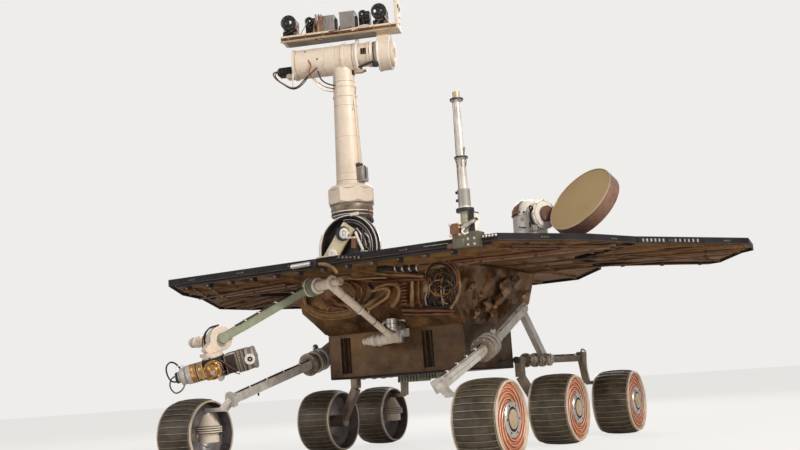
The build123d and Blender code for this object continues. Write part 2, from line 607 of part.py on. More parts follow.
def mast_base():
    """Deployment bracket with its lever, cable drum and the eight-sided azimuth housing."""
    place = Pos(MAST_X, MAST_Y, 0)
    rear = DRUM_FRONT + DRUM_WIDTH
    foot = block(-84, 84, rear + 4, 74, DECK_TOP_Z, DECK_TOP_Z + 10)
    crown = block(-50, 50, rear + 4, 60, BRACKET_TOP_Z - 14, BRACKET_TOP_Z)
    pieces = [foot, crown]
    for side in (-1, 1):
        corners = [(-60, DECK_TOP_Z), (70, DECK_TOP_Z), (52, BRACKET_TOP_Z), (-34, BRACKET_TOP_Z)]
        outline = [(0, y if y > 0 else max(y, rear + 4), z) for y, z in corners]
        cheek = extrude(make_face(Polyline(*outline, close=True)), 8, dir=(1, 0, 0))
        pieces.append(Pos(side * 44 - 4, 0, 0) * cheek)
    keep("mast_bracket", place * fused(pieces))

    centre = (DRUM_X, DRUM_FRONT, DRUM_Z)
    shell = rod(centre, (DRUM_X, rear, DRUM_Z), DRUM_RADIUS)
    hollow = rod((DRUM_X, DRUM_FRONT - 1, DRUM_Z), (DRUM_X, rear - DRUM_WALL, DRUM_Z), DRUM_RADIUS - DRUM_WALL)
    core = rod(centre, (DRUM_X, rear, DRUM_Z), DRUM_RADIUS / 2)
    above = block(-200, 200, DRUM_FRONT - 40, rear + 40, DECK_TOP_Z, DRUM_Z + DRUM_RADIUS + 1)
    stay = block(DRUM_X - 50, DRUM_X + 50, rear, rear + 4, DECK_TOP_Z, BRACKET_TOP_Z - 20)
    lever_y = DRUM_FRONT - LEVER_THICKNESS / 2
    lever = beam((DRUM_X - 84, lever_y, DECK_TOP_Z - 4), (DRUM_X + 12, lever_y, DECK_TOP_Z + 118), LEVER_WIDTH,
                 LEVER_THICKNESS, (1, 0, -0.7))
    knob = rod((DRUM_X - 8, DRUM_FRONT - LEVER_THICKNESS - 8, DECK_TOP_Z + 92),
               (DRUM_X - 8, DRUM_FRONT + 6, DECK_TOP_Z + 92), LEVER_WIDTH / 2 + 4)
    drum = fused([shell - hollow, core, stay, lever, knob])
    keep("cable_drum", place * (drum & above))

    band = centred(Cylinder, BAND_RADIUS, BAND_TOP_Z - BRACKET_TOP_Z)
    collar = extrude(RegularPolygon(COLLAR_FLAT, 8, major_radius=False), COLLAR_TOP_Z - BAND_TOP_Z)
    collar = Pos(0, 0, BAND_TOP_Z) * Rot(0, 0, COLLAR_TURN) * collar
    rim_points = [(0, BAND_TOP_Z), (BAND_RADIUS, BAND_TOP_Z), (BAND_RADIUS + 16, BAND_TOP_Z + 14),
                  (BAND_RADIUS + 16, COLLAR_TOP_Z - 16), (BAND_RADIUS - 4, COLLAR_TOP_Z), (0, COLLAR_TOP_Z)]
    keep("mast_collar", place * fused([Pos(0, 0, BRACKET_TOP_Z) * band, collar & turned(rim_points)]))


def head_frame(*shapes):
    """Places pieces that are drawn along the camera bar: X along it, -Y out of the lenses."""
    return [Pos(MAST_X, MAST_Y, 0) * Rot(0, 0, HEAD_YAW) * shape for shape in shapes]


def mast_top():
    place = Pos(MAST_X, MAST_Y, 0)
    foot = COLLAR_TOP_Z + RUNNING_GAP
    profile = [(0, foot), (TUBE_FOOT_RADIUS + 4, foot), (TUBE_FOOT_RADIUS + 4, foot + 8),
               (TUBE_FOOT_RADIUS, foot + 8)]
    for ring_z in TUBE_RINGS_Z:
        share = (ring_z - foot) / (TUBE_TOP_Z - foot)
        wall = TUBE_FOOT_RADIUS + (TUBE_TOP_RADIUS - TUBE_FOOT_RADIUS) * share
        edge = wall + TUBE_RING_OVER
        profile += [(wall, ring_z), (edge, ring_z), (edge, ring_z + TUBE_RING_HEIGHT),
                    (wall, ring_z + TUBE_RING_HEIGHT)]
    profile += [(TUBE_TOP_RADIUS, TUBE_TOP_Z), (0, TUBE_TOP_Z)]
    connector = Rot(0, 0, CONNECTOR_TURN) * block(TUBE_FOOT_RADIUS - 8, TUBE_FOOT_RADIUS + 20, -16, 16,
                                                  foot + 10, foot + 62)
    keep("mast_tube", place * fused([turned(profile), connector]))

    barrel = rod((HEAD_LEFT, 0, HEAD_Z), (HEAD_STEP, 0, HEAD_Z), HEAD_RADIUS)
    narrow_z = HEAD_Z + HEAD_NARROW_RISE
    narrow = rod((HEAD_STEP, 0, narrow_z), (HEAD_RIGHT, 0, narrow_z), HEAD_NARROW_RADIUS)
    throat = Pos(0, 0, TUBE_TOP_Z) * centred(Cylinder, TUBE_TOP_RADIUS, HEAD_Z - TUBE_TOP_Z)
    rings = [rod((x, 0, HEAD_Z), (x + HEAD_RING_WIDTH, 0, HEAD_Z), HEAD_RADIUS + HEAD_RING_OVER)
             for x in (HEAD_LEFT, HEAD_STEP - HEAD_RING_WIDTH)]
    rings.append(rod((HEAD_RIGHT - 22, 0, narrow_z), (HEAD_RIGHT - 14, 0, narrow_z),
                     HEAD_NARROW_RADIUS + HEAD_RING_OVER))
    shroud = block(HEAD_LEFT - 34, HEAD_LEFT, -14, 24, HEAD_Z - HEAD_RADIUS + 6, HEAD_Z - 14)
    keep("mast_head", *head_frame(fused([barrel, narrow, throat, shroud] + rings)))


def camera_bar():
    """Bar over the head, carried at its right end, with two pairs of cameras."""
    bottom = HEAD_Z + BAR_RISE
    floor = bottom + BAR_THICKNESS
    base = block(BAR_LEFT, BAR_RIGHT, BAR_FRONT, BAR_BACK, bottom, floor)
    rail = block(BAR_LEFT, BAR_RIGHT, BAR_FRONT, BAR_FRONT + 5, bottom - 6, floor + 4)
    right_plate = block(BAR_RIGHT - END_PLATE_THICKNESS, BAR_RIGHT, BAR_FRONT + 8, BAR_BACK, bottom,
                        bottom + END_PLATE_HEIGHT)
    left_plate = block(BAR_LEFT, BAR_LEFT + 5, 0, BAR_BACK, bottom, floor + LENS_HEIGHT + 22)
    width = BRACKET_RIGHT - BRACKET_LEFT
    drop = plate([(-BRACKET_TOP_WIDTH / 2, BAR_RISE), (BRACKET_TOP_WIDTH / 2, BAR_RISE),
                  (BRACKET_RADIUS * 0.94, BRACKET_RADIUS * 0.34), (-BRACKET_RADIUS * 0.94, BRACKET_RADIUS * 0.34)],
                 0, width)
    round_end = centred(Cylinder, BRACKET_RADIUS, width)
    boss = Pos(0, 0, width) * centred(Cylinder, BRACKET_RADIUS - 12, 10)
    bore = Pos(0, 0, width - 24) * centred(Cylinder, 18, 60)
    upright = Plane(origin=(BRACKET_LEFT, 0, HEAD_Z), x_dir=(0, 1, 0), z_dir=(1, 0, 0))
    drop_bracket = upright.location * (fused([drop, round_end, boss]) - bore)
    shaft = rod((HEAD_RIGHT + RUNNING_GAP, 0, HEAD_Z), (BRACKET_LEFT, 0, HEAD_Z), 30)
    keep("camera_bar", *head_frame(fused([base, rail, right_plate, left_plate, drop_bracket, shaft])))

    lens_z = floor + LENS_HEIGHT
    # Cameras: place along the bar, lens radius, barrel length, body width, body depth
    cameras = [(-188, LONG_LENS_RADIUS, 34, 44, 36), (152, LONG_LENS_RADIUS, 34, 44, 36),
               (-112, WIDE_LENS_RADIUS, 22, 40, 34), (90, WIDE_LENS_RADIUS, 22, 40, 34)]
    solids = []
    for place, radius, length, width, depth in cameras:
        casing = block(place - width / 2, place + width / 2, -4, depth - 4, floor, lens_z + 18)
        barrel = rod((place, -4, lens_z), (place, -4 - length, lens_z), radius)
        solids.append(fused([casing, barrel]))
    keep("cameras", *head_frame(*solids))
    boxes = [block(-78, -18, -24, 26, floor, floor + 68), block(2, 58, -24, 26, floor, floor + 74)]
    keep("camera_electronics", *head_frame(*boxes))


def low_gain_antenna():
    """Slender tapered antenna on a bracket at the deck's front edge."""
    place = Pos(LOW_X, LOW_Y, 0)
    flange = LOW_FOOT_Z + LOW_FLANGE_RISE
    flange_top = flange + LOW_FLANGE_THICKNESS
    sleeve = LOW_FOOT_Z + LOW_SLEEVE_RISE
    band = LOW_FOOT_Z + LOW_BAND_RISE
    band_top = band + LOW_BAND_HEIGHT
    tip = LOW_TOP_Z - LOW_TIP_BAND_DROP
    tip_top = tip + LOW_BAND_HEIGHT
    profile = [(0, LOW_FOOT_Z), (15, LOW_FOOT_Z), (15, flange), (28, flange), (28, flange_top),
               (20, flange_top), (19, sleeve), (15, sleeve), (13, band), (21, band), (21, band_top),
               (13, band_top), (10, tip), (21, tip), (21, tip_top), (11, tip_top), (8, LOW_TOP_Z), (0, LOW_TOP_Z)]
    keep("low_gain_antenna", place * turned(profile))
    foot = DECK_FRONT_Y - LOW_Y
    plinth = block(-40, 46, -22, foot - RUNNING_GAP, 664, LOW_FOOT_Z)
    saddle = block(-40, 46, -22, 30, DECK_TOP_Z, LOW_FOOT_Z)
    post = block(22, 34, -14, 26, LOW_FOOT_Z, flange - 4)
    latch = block(-46, -18, -24, 10, LOW_FOOT_Z, 744)
    keep("low_gain_bracket", place * fused([plinth, saddle, post, latch]))


def gimbal_frame(*shapes):
    """Places antenna pieces: X along the elevation axis, -Y ahead of the dish."""
    return [Pos(HIGH_X, HIGH_Y, 0) * Rot(0, 0, HIGH_YAW) * shape for shape in shapes]


def high_gain_antenna():
    """Thick round antenna on a two-axis gimbal: it turns on the pedestal and tilts at the crank."""
    flange = Pos(0, 0, DECK_TOP_Z) * centred(Cylinder, PEDESTAL_FLANGE_RADIUS, PEDESTAL_FLANGE)
    post = Pos(0, 0, DECK_TOP_Z) * centred(Cylinder, PEDESTAL_RADIUS, PEDESTAL_TOP_Z - DECK_TOP_Z)
    keep("antenna_pedestal", *gimbal_frame(fused([flange, post])))

    foot = PEDESTAL_TOP_Z + RUNNING_GAP
    top = HIGH_AXIS_Z + GIMBAL_DOME
    bowl = turned([(0, foot), (GIMBAL_RADIUS - 10, foot), (GIMBAL_RADIUS, foot + 16), (GIMBAL_RADIUS - 2, top - 62),
                   (GIMBAL_RADIUS - 12, top - 30), (GIMBAL_RADIUS - 30, top - 8), (GIMBAL_RADIUS - 48, top), (0, top)])
    motor = rod((0, 0, HIGH_AXIS_Z), (ELEVATION_END, 0, HIGH_AXIS_Z), ELEVATION_RADIUS)
    rings = [rod((x, 0, HIGH_AXIS_Z), (x + ELEVATION_RING_WIDTH, 0, HIGH_AXIS_Z),
                 ELEVATION_RADIUS + ELEVATION_RING_OVER) for x in (GIMBAL_RADIUS - 12, ELEVATION_END - 14)]
    keep("antenna_gimbal", *gimbal_frame(fused([bowl, motor] + rings)))

    tilt = math.radians(DISH_TILT)
    face = Plane(origin=(DISH_OUT, DISH_BACK, HIGH_AXIS_Z + DISH_RISE), x_dir=(1, 0, 0),
                 z_dir=(0, -math.cos(tilt), math.sin(tilt)))
    dish = turned([(0, -DISH_THICKNESS), (DISH_RADIUS - 6, -DISH_THICKNESS), (DISH_RADIUS, 6 - DISH_THICKNESS),
                   (DISH_RADIUS, 0), (DISH_RADIUS - DISH_RIM, 0), (DISH_RADIUS - DISH_RIM, -1.5), (0, -1.5)])
    boss = Pos(0, 0, -DISH_THICKNESS - 12) * centred(Cylinder, 40, 12)
    crank_start = ELEVATION_END + RUNNING_GAP
    shaft = rod((crank_start, 0, HIGH_AXIS_Z), (crank_start + CRANK_THICKNESS, 0, HIGH_AXIS_Z), CRANK_RADIUS)
    back = face.location * Pos(0, 0, -DISH_THICKNESS - 12)
    reach = DISH_OUT - crank_start
    rail = back * Pos(-reach / 2, 0, -7) * Box(reach, 36, 14)
    centre = back.position
    crank_x = crank_start + CRANK_THICKNESS / 2
    crank = beam((crank_x, 0, HIGH_AXIS_Z), (crank_x, centre.Y + 12 * math.cos(tilt), centre.Z - 12 * math.sin(tilt)),
                 CRANK_THICKNESS, 44, (1, 0, 0))
    keep("antenna_dish", *gimbal_frame(fused([face.location * dish, face.location * boss, rail, crank, shaft])))


def arm_frame(*shapes):
    """Places arm pieces: X along the joints' axes, Y back from the reach, Z up from the shoulder."""
    return [Pos(ARM_X, ARM_Y, ARM_Z) * Rot(0, 0, ARM_YAW) * shape for shape in shapes]


def arm_point(side, out, up):
    """Point of the arm: along the joint axes, out from the shoulder axis, up from it."""
    return (side, -SHOULDER_REACH - out, up)


def across(side_from, side_to, out, up, radius, end_radius=None):
    """Round housing along a joint axis of the arm."""
    return rod(arm_point(side_from, out, up), arm_point(side_to, out, up), radius, end_radius)


def arm():
    """Five-jointed arm on the front of the electronics box, with its tool turret."""
    wall = BOX_FRONT_Y - ARM_Y
    shelf_top = SHELF_BOTTOM + SHELF_THICKNESS
    shelf = block(-SHELF_RADIUS, SHELF_RADIUS, 0, wall, SHELF_BOTTOM, shelf_top)
    nose = Pos(0, 0, SHELF_BOTTOM) * centred(Cylinder, SHELF_RADIUS, SHELF_THICKNESS)
    can = Pos(0, 0, shelf_top) * centred(Cylinder, AZIMUTH_CAN_RADIUS, AZIMUTH_CAN_TOP - shelf_top)
    web = block(-5, 5, wall - WEB_LENGTH, wall, SHELF_BOTTOM - BACK_DROP, SHELF_BOTTOM)
    back = block(-SHELF_RADIUS - 6, SHELF_RADIUS + 6, wall - 8, wall, SHELF_BOTTOM - BACK_DROP, shelf_top)
    keep("arm_bracket", Pos(ARM_X, ARM_Y, ARM_Z) * fused([shelf, nose, can, web, back]))

    output = Pos(0, 0, 0) * centred(Cylinder, HUB_OUTPUT_RADIUS, SHELF_BOTTOM - RUNNING_GAP)
    output -= block(JOINT_SIDE, 2 * HUB_OUTPUT_RADIUS, -2 * HUB_OUTPUT_RADIUS, 2 * HUB_OUTPUT_RADIUS, -1,
                    ACTUATOR_RADIUS + 3)
    shoulder = [output, across(JOINT_SIDE, -95, 0, 0, ACTUATOR_RADIUS + 2),
                across(-95, SHOULDER_TIP, 0, 0, ACTUATOR_TIP_RADIUS), across(-56, -66, 0, 0, ACTUATOR_RADIUS + 6),
                across(-118, -124, 0, 0, ACTUATOR_TIP_RADIUS + 3)]
    keep("arm_shoulder", *arm_frame(fused(shoulder)))

    seam = (ELBOW_OUT * 0.52, ELBOW_UP * 0.52)
    upper = [across(JOINT_SIDE + RUNNING_GAP, 33, 0, 0, ACTUATOR_RADIUS),
             rod(arm_point(TUBE_SIDE, 0, 0), arm_point(TUBE_SIDE, *seam), UPPER_TUBE_RADIUS),
             rod(arm_point(TUBE_SIDE, *seam), arm_point(TUBE_SIDE, ELBOW_OUT, ELBOW_UP), TUBE_SLEEVE_RADIUS),
             across(ELBOW_FACE, ELBOW_END, ELBOW_OUT, ELBOW_UP, ACTUATOR_RADIUS + 2),
             across(-52, -44, ELBOW_OUT, ELBOW_UP, ACTUATOR_RADIUS + 8),
             across(ELBOW_END - 9, ELBOW_END - 2, ELBOW_OUT, ELBOW_UP, ACTUATOR_RADIUS + 5),
             across(ELBOW_END, ELBOW_TIP, ELBOW_OUT, ELBOW_UP, ACTUATOR_TIP_RADIUS)]
    keep("arm_upper_link", *arm_frame(fused(upper)))

    link_end = LINK_SIDE - LINK_THICKNESS / 2
    fore = [across(ELBOW_FACE - RUNNING_GAP, link_end, ELBOW_OUT, ELBOW_UP, ELBOW_COLLAR_RADIUS),
            beam(arm_point(LINK_SIDE, ELBOW_OUT, ELBOW_UP), arm_point(LINK_SIDE, WRIST_OUT, WRIST_UP), LINK_WIDTH,
                 LINK_THICKNESS),
            across(LINK_SIDE + LINK_THICKNESS / 2 + 4, link_end, WRIST_OUT, WRIST_UP, LINK_WIDTH / 2 + 4)]
    keep("arm_forearm", *arm_frame(fused(fore)))

    lean = math.radians(TURRET_LEAN)
    down = (math.sin(lean), -math.cos(lean))
    half = TURRET_HEIGHT / 2
    hub_top = (TURRET_OUT - down[0] * half, TURRET_UP - down[1] * half)
    cap_top = (hub_top[0] - down[0] * TURRET_CAP, hub_top[1] - down[1] * TURRET_CAP)
    yoke_side = link_end - RUNNING_GAP
    yoke_end = yoke_side - WRIST_COLLAR_WIDTH
    middle = (yoke_side + yoke_end) / 2
    yoke = [across(yoke_side, yoke_end, WRIST_OUT, WRIST_UP, WRIST_COLLAR_RADIUS),
            across(yoke_end, yoke_end - 26, WRIST_OUT, WRIST_UP, ACTUATOR_RADIUS + 10),
            across(yoke_end - 26, yoke_end - WRIST_STEP, WRIST_OUT, WRIST_UP, ACTUATOR_RADIUS + 2),
            across(yoke_end - WRIST_STEP, WRIST_TIP, WRIST_OUT, WRIST_UP, ACTUATOR_RADIUS - 1),
            across(WRIST_TIP + 44, WRIST_TIP + 38, WRIST_OUT, WRIST_UP, ACTUATOR_RADIUS + 2),
            beam(arm_point(middle, WRIST_OUT, WRIST_UP), arm_point(middle, cap_top[0], cap_top[1] - 2), 44,
                 WRIST_COLLAR_WIDTH, (0, 1, 0)),
            rod(arm_point(TURRET_SIDE, *cap_top), arm_point(TURRET_SIDE, *hub_top), 34),
            beam(arm_point(yoke_end, cap_top[0] - down[0] * -6, cap_top[1] - down[1] * -6),
                 arm_point(TURRET_SIDE, cap_top[0] - down[0] * -6, cap_top[1] - down[1] * -6), 44, 11, (0, 1, 0))]
    hub_start = arm_point(TURRET_SIDE, hub_top[0] + down[0] * RUNNING_GAP, hub_top[1] + down[1] * RUNNING_GAP)
    hub_end = arm_point(TURRET_SIDE, TURRET_OUT + down[0] * half, TURRET_UP + down[1] * half)
    room = rod(arm_point(TURRET_SIDE, *hub_top), hub_end, 2 * TURRET_RADIUS)
    keep("arm_wrist", *arm_frame(fused(yoke) - room))
    keep("turret_hub", *arm_frame(rod(hub_start, hub_end, TURRET_RADIUS)))

    frame = Plane(origin=arm_point(TURRET_SIDE, TURRET_OUT, TURRET_UP), x_dir=(1, 0, 0),
                  z_dir=(0, -down[0], down[1]))

    def radial(turn_by, *shapes):
        return [frame.location * Rot(0, 0, TURRET_TURN + turn_by) * shape for shape in shapes]

    seat = TURRET_RADIUS + RUNNING_GAP
    body_x = seat + 74
    grinder = [block(seat, body_x, -30, 30, TOOL_TOP, 32), rod((body_x - 6, 0, 2), (body_x + 26, 0, 2), 36),
               rod((body_x + 10, -36, 2), (body_x + 10, -42, 2), 17)]
    for step in range(3):
        grinder.append(block(seat + 40 + 14 * step, seat + 46 + 14 * step, -34, 34, TOOL_TOP - 3, 36))
    keep("grinding_tool", *arm_frame(*radial(0, fused(grinder))))
    rise = SPECTROMETER_RISE
    contact = [rod((seat, 0, rise), (seat + 60, 0, rise), SPECTROMETER_RADIUS),
               rod((seat + 60, 0, rise), (seat + 80, 0, rise), 28),
               rod((seat + 80, 0, rise), (seat + 97, 0, rise), 18)]
    keep("spectrometer", *arm_frame(*radial(180, fused(contact))))
    sensor = [rod((seat, 0, 2), (seat + 34, 0, 2), 30), rod((seat + 34, 0, 2), (seat + 56, 0, 2), 21)]
    keep("particle_sensor", *arm_frame(*radial(90, fused(sensor))))
    microscope = [block(seat, seat + 30, -24, 24, -26, 24), rod((seat + 30, 0, 0), (seat + 64, 0, 0), 16)]
    keep("microscope", *arm_frame(*radial(270, fused(microscope))))


def main():
    wheels_and_steering()
    suspension()
    body()
    solar_deck()
    mast_base()
    mast_top()
    camera_bar()
    low_gain_antenna()
    high_gain_antenna()
    arm()
    os.makedirs("parts", exist_ok=True)
    for name, shape in parts.items():
        export_step(shape, os.path.join("parts", f"{name}.step"))


main()
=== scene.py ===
import json
import math
import random

import bpy
from mathutils import Matrix, Vector, noise

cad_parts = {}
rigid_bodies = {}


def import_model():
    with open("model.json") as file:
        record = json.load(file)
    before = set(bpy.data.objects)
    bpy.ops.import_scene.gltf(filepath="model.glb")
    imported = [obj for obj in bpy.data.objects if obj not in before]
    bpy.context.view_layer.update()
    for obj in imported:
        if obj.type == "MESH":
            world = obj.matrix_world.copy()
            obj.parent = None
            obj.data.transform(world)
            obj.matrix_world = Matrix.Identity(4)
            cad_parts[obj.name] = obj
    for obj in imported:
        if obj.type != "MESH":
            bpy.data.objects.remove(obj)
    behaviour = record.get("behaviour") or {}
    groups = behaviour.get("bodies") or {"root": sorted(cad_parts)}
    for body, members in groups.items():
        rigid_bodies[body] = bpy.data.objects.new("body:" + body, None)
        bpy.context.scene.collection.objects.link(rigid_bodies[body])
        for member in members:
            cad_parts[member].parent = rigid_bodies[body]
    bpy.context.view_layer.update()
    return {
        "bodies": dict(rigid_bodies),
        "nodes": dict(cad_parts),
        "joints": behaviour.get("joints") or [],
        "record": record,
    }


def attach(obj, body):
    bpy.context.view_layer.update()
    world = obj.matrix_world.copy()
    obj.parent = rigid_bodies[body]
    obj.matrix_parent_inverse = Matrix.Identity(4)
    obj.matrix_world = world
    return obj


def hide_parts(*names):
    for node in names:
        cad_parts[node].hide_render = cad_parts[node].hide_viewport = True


# Looks of the planetary rover, in metres, in the frame of its solids.
# +X is the rover's left, -Y its front, +Z up, the ground is z = 0.

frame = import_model()
nodes = frame["nodes"]
X, Y, Z = 0, 1, 2

# Camera and room
CAMERA_PLACE = Vector((1.974, -3.608, 0.245))
CAMERA_YAW = math.radians(29.07)
CAMERA_PITCH = math.radians(8.83)
CAMERA_ROLL = math.radians(-3.96)
CAMERA_LENS = 47.28
SENSOR_WIDTH = 36.0
PIXELS_WIDE = 800
PIXELS_HIGH = 450
FOCUS = CAMERA_LENS / SENSOR_WIDTH * PIXELS_WIDE
LOOK = Vector((-math.sin(CAMERA_YAW) * math.cos(CAMERA_PITCH),
               math.cos(CAMERA_YAW) * math.cos(CAMERA_PITCH), math.sin(CAMERA_PITCH)))
LEVEL = Vector((math.cos(CAMERA_YAW), math.sin(CAMERA_YAW), 0.0))
UPRIGHT = LEVEL.cross(LOOK)
RIGHT = LEVEL * math.cos(CAMERA_ROLL) + UPRIGHT * math.sin(CAMERA_ROLL)
UP = UPRIGHT * math.cos(CAMERA_ROLL) - LEVEL * math.sin(CAMERA_ROLL)
FLOOR_HALF = 60.0
FLOOR_COLOUR = (0.80, 0.78, 0.75, 1)
FLOOR_ROUGHNESS = 0.9
PALE = (0.93, 0.92, 0.90, 1)
FLOOR_GLOW, SKY_GLOW = 1.06, 0.92
FLOOR_SHARE, GLOSS_SHARE = 0.72, 0.55
ROOM_COLOUR = (0.90, 0.87, 0.84, 1)
ROOM_LIGHT = 0.30
# Lamps: name, place, aim, size, power, colour
LAMPS = (("key", (4.6, -2.2, 3.4), (0, -0.1, 0.8), 1.6, 235, (1.0, 0.95, 0.86)),
         ("fill", (-3.2, -4.2, 2.0), (0, 0, 0.6), 3.0, 50, (1.0, 0.97, 0.94)),
         ("back", (-1.6, 4.2, 3.2), (0, 0, 0.9), 2.4, 90, (0.98, 0.97, 1.0)),
         ("low", (2.2, -3.4, 0.25), (0, -0.1, 0.55), 1.4, 26, (1.0, 0.92, 0.82)))


def make_camera():
    """Camera at the photograph's viewpoint."""
    lens = bpy.data.cameras.new("camera")
    lens.lens = CAMERA_LENS
    lens.sensor_width = SENSOR_WIDTH
    lens.clip_start = 0.05
    camera = bpy.data.objects.new("camera", lens)
    turn = Matrix((RIGHT, UP, -LOOK)).transposed()
    camera.matrix_world = Matrix.Translation(CAMERA_PLACE) @ turn.to_4x4()
    bpy.context.scene.collection.objects.link(camera)
    bpy.context.scene.camera = camera


def seen(u, v, axis, value, frame=None):
    """Point on the plane axis = value, in a frame of its own, that shows at pixel u, v of 800 by 450."""
    ray = LOOK + RIGHT * (u - PIXELS_WIDE / 2) / FOCUS - UP * (v - PIXELS_HIGH / 2) / FOCUS
    start = CAMERA_PLACE
    if frame is not None:
        back = frame.inverted()
        start = back @ start
        ray = back.to_3x3() @ ray
    return start + ray * ((value - start[axis]) / ray[axis])


def traced(path, value, frame=None):
    """Points of a line from (pixel u, pixel v) or (u, v, shift of the plane) rows."""
    lift = frame or Matrix.Identity(4)
    return [lift @ seen(row[0], row[1], Y, value + sum(row[2:]), frame) for row in path]


# Materials. Each has noise in its colour, roughness and relief, in the piece's own coordinates.
def shader_of(name):
    made = bpy.data.materials.new(name)
    made.use_nodes = True
    return made, made.node_tree, made.node_tree.nodes["Principled BSDF"]


def node(tree, kind, inputs=None, **settings):
    made = tree.nodes.new(kind)
    for key, value in settings.items():
        setattr(made, key, value)
    for key, value in (inputs or {}).items():
        if isinstance(value, bpy.types.NodeSocket):
            tree.links.new(value, made.inputs[key])
        else:
            made.inputs[key].default_value = value
    return made


def ramp(tree, factor, stops):
    """Colour ramp from (position, colour) stops."""
    made = tree.nodes.new("ShaderNodeValToRGB")
    tree.links.new(factor, made.inputs[0])
    steps = made.color_ramp.elements
    while len(steps) < len(stops):
        steps.new(0.5)
    for step, (position, colour) in zip(steps, stops):
        step.position = position
        step.color = (*colour, 1)
    return made.outputs[0]


def finish_of(name, light, dark, metallic, rough, blotch=9.0, grain=60.0, relief=0.15,
              stretch=(1, 1, 1), crinkle=0.0, crinkle_scale=22.0, wear=None, specular=0.5, balance=0.5):
    """Two-tone worn surface: blotches of two colours, fine grain in relief and roughness."""
    made, tree, shader = shader_of(name)
    place = node(tree, "ShaderNodeTexCoord")
    at = node(tree, "ShaderNodeMapping", {"Vector": place.outputs["Object"], "Scale": stretch}).outputs[0]
    blotches = node(tree, "ShaderNodeTexNoise", {"Vector": at, "Scale": blotch, "Detail": 6.0,
                                                 "Roughness": 0.6})
    fine = node(tree, "ShaderNodeTexNoise", {"Vector": at, "Scale": grain, "Detail": 4.0, "Roughness": 0.65})
    blend = node(tree, "ShaderNodeMath", {0: blotches.outputs["Fac"], 1: 0.7}, operation="MULTIPLY")
    both = node(tree, "ShaderNodeMath", {0: fine.outputs["Fac"], 1: 0.3, 2: blend.outputs[0]},
                operation="MULTIPLY_ADD")
    stops = [(max(0.0, balance - 0.13), dark), (min(1.0, balance + 0.13), light)]
    if wear:
        stops.append((min(1.0, balance + 0.24), wear))
    tree.links.new(ramp(tree, both.outputs[0], stops), shader.inputs["Base Color"])
    shader.inputs["Metallic"].default_value = metallic
    shader.inputs["Specular IOR Level"].default_value = specular
    roughness = node(tree, "ShaderNodeMapRange",
                     {"Value": fine.outputs["Fac"], "From Min": 0.3, "From Max": 0.7,
                      "To Min": max(0.03, rough - 0.1), "To Max": min(1.0, rough + 0.1)})
    tree.links.new(roughness.outputs[0], shader.inputs["Roughness"])
    bump = node(tree, "ShaderNodeBump", {"Height": fine.outputs["Fac"], "Strength": relief,
                                         "Distance": 0.002})
    if crinkle:
        cells = node(tree, "ShaderNodeTexVoronoi", {"Vector": at, "Scale": crinkle_scale}, feature="F1")
        folds = node(tree, "ShaderNodeTexNoise",
                     {"Vector": at, "Scale": crinkle_scale * 0.45, "Detail": 5.0, "Distortion": 1.4})
        height = node(tree, "ShaderNodeMath", {0: cells.outputs["Distance"], 1: folds.outputs["Fac"]},
                      operation="ADD")
        bump = node(tree, "ShaderNodeBump", {"Height": height.outputs[0], "Strength": crinkle,
                                             "Distance": 0.012,
                                             "Normal": bump.outputs[0]})
    tree.links.new(bump.outputs[0], shader.inputs["Normal"])
    return made


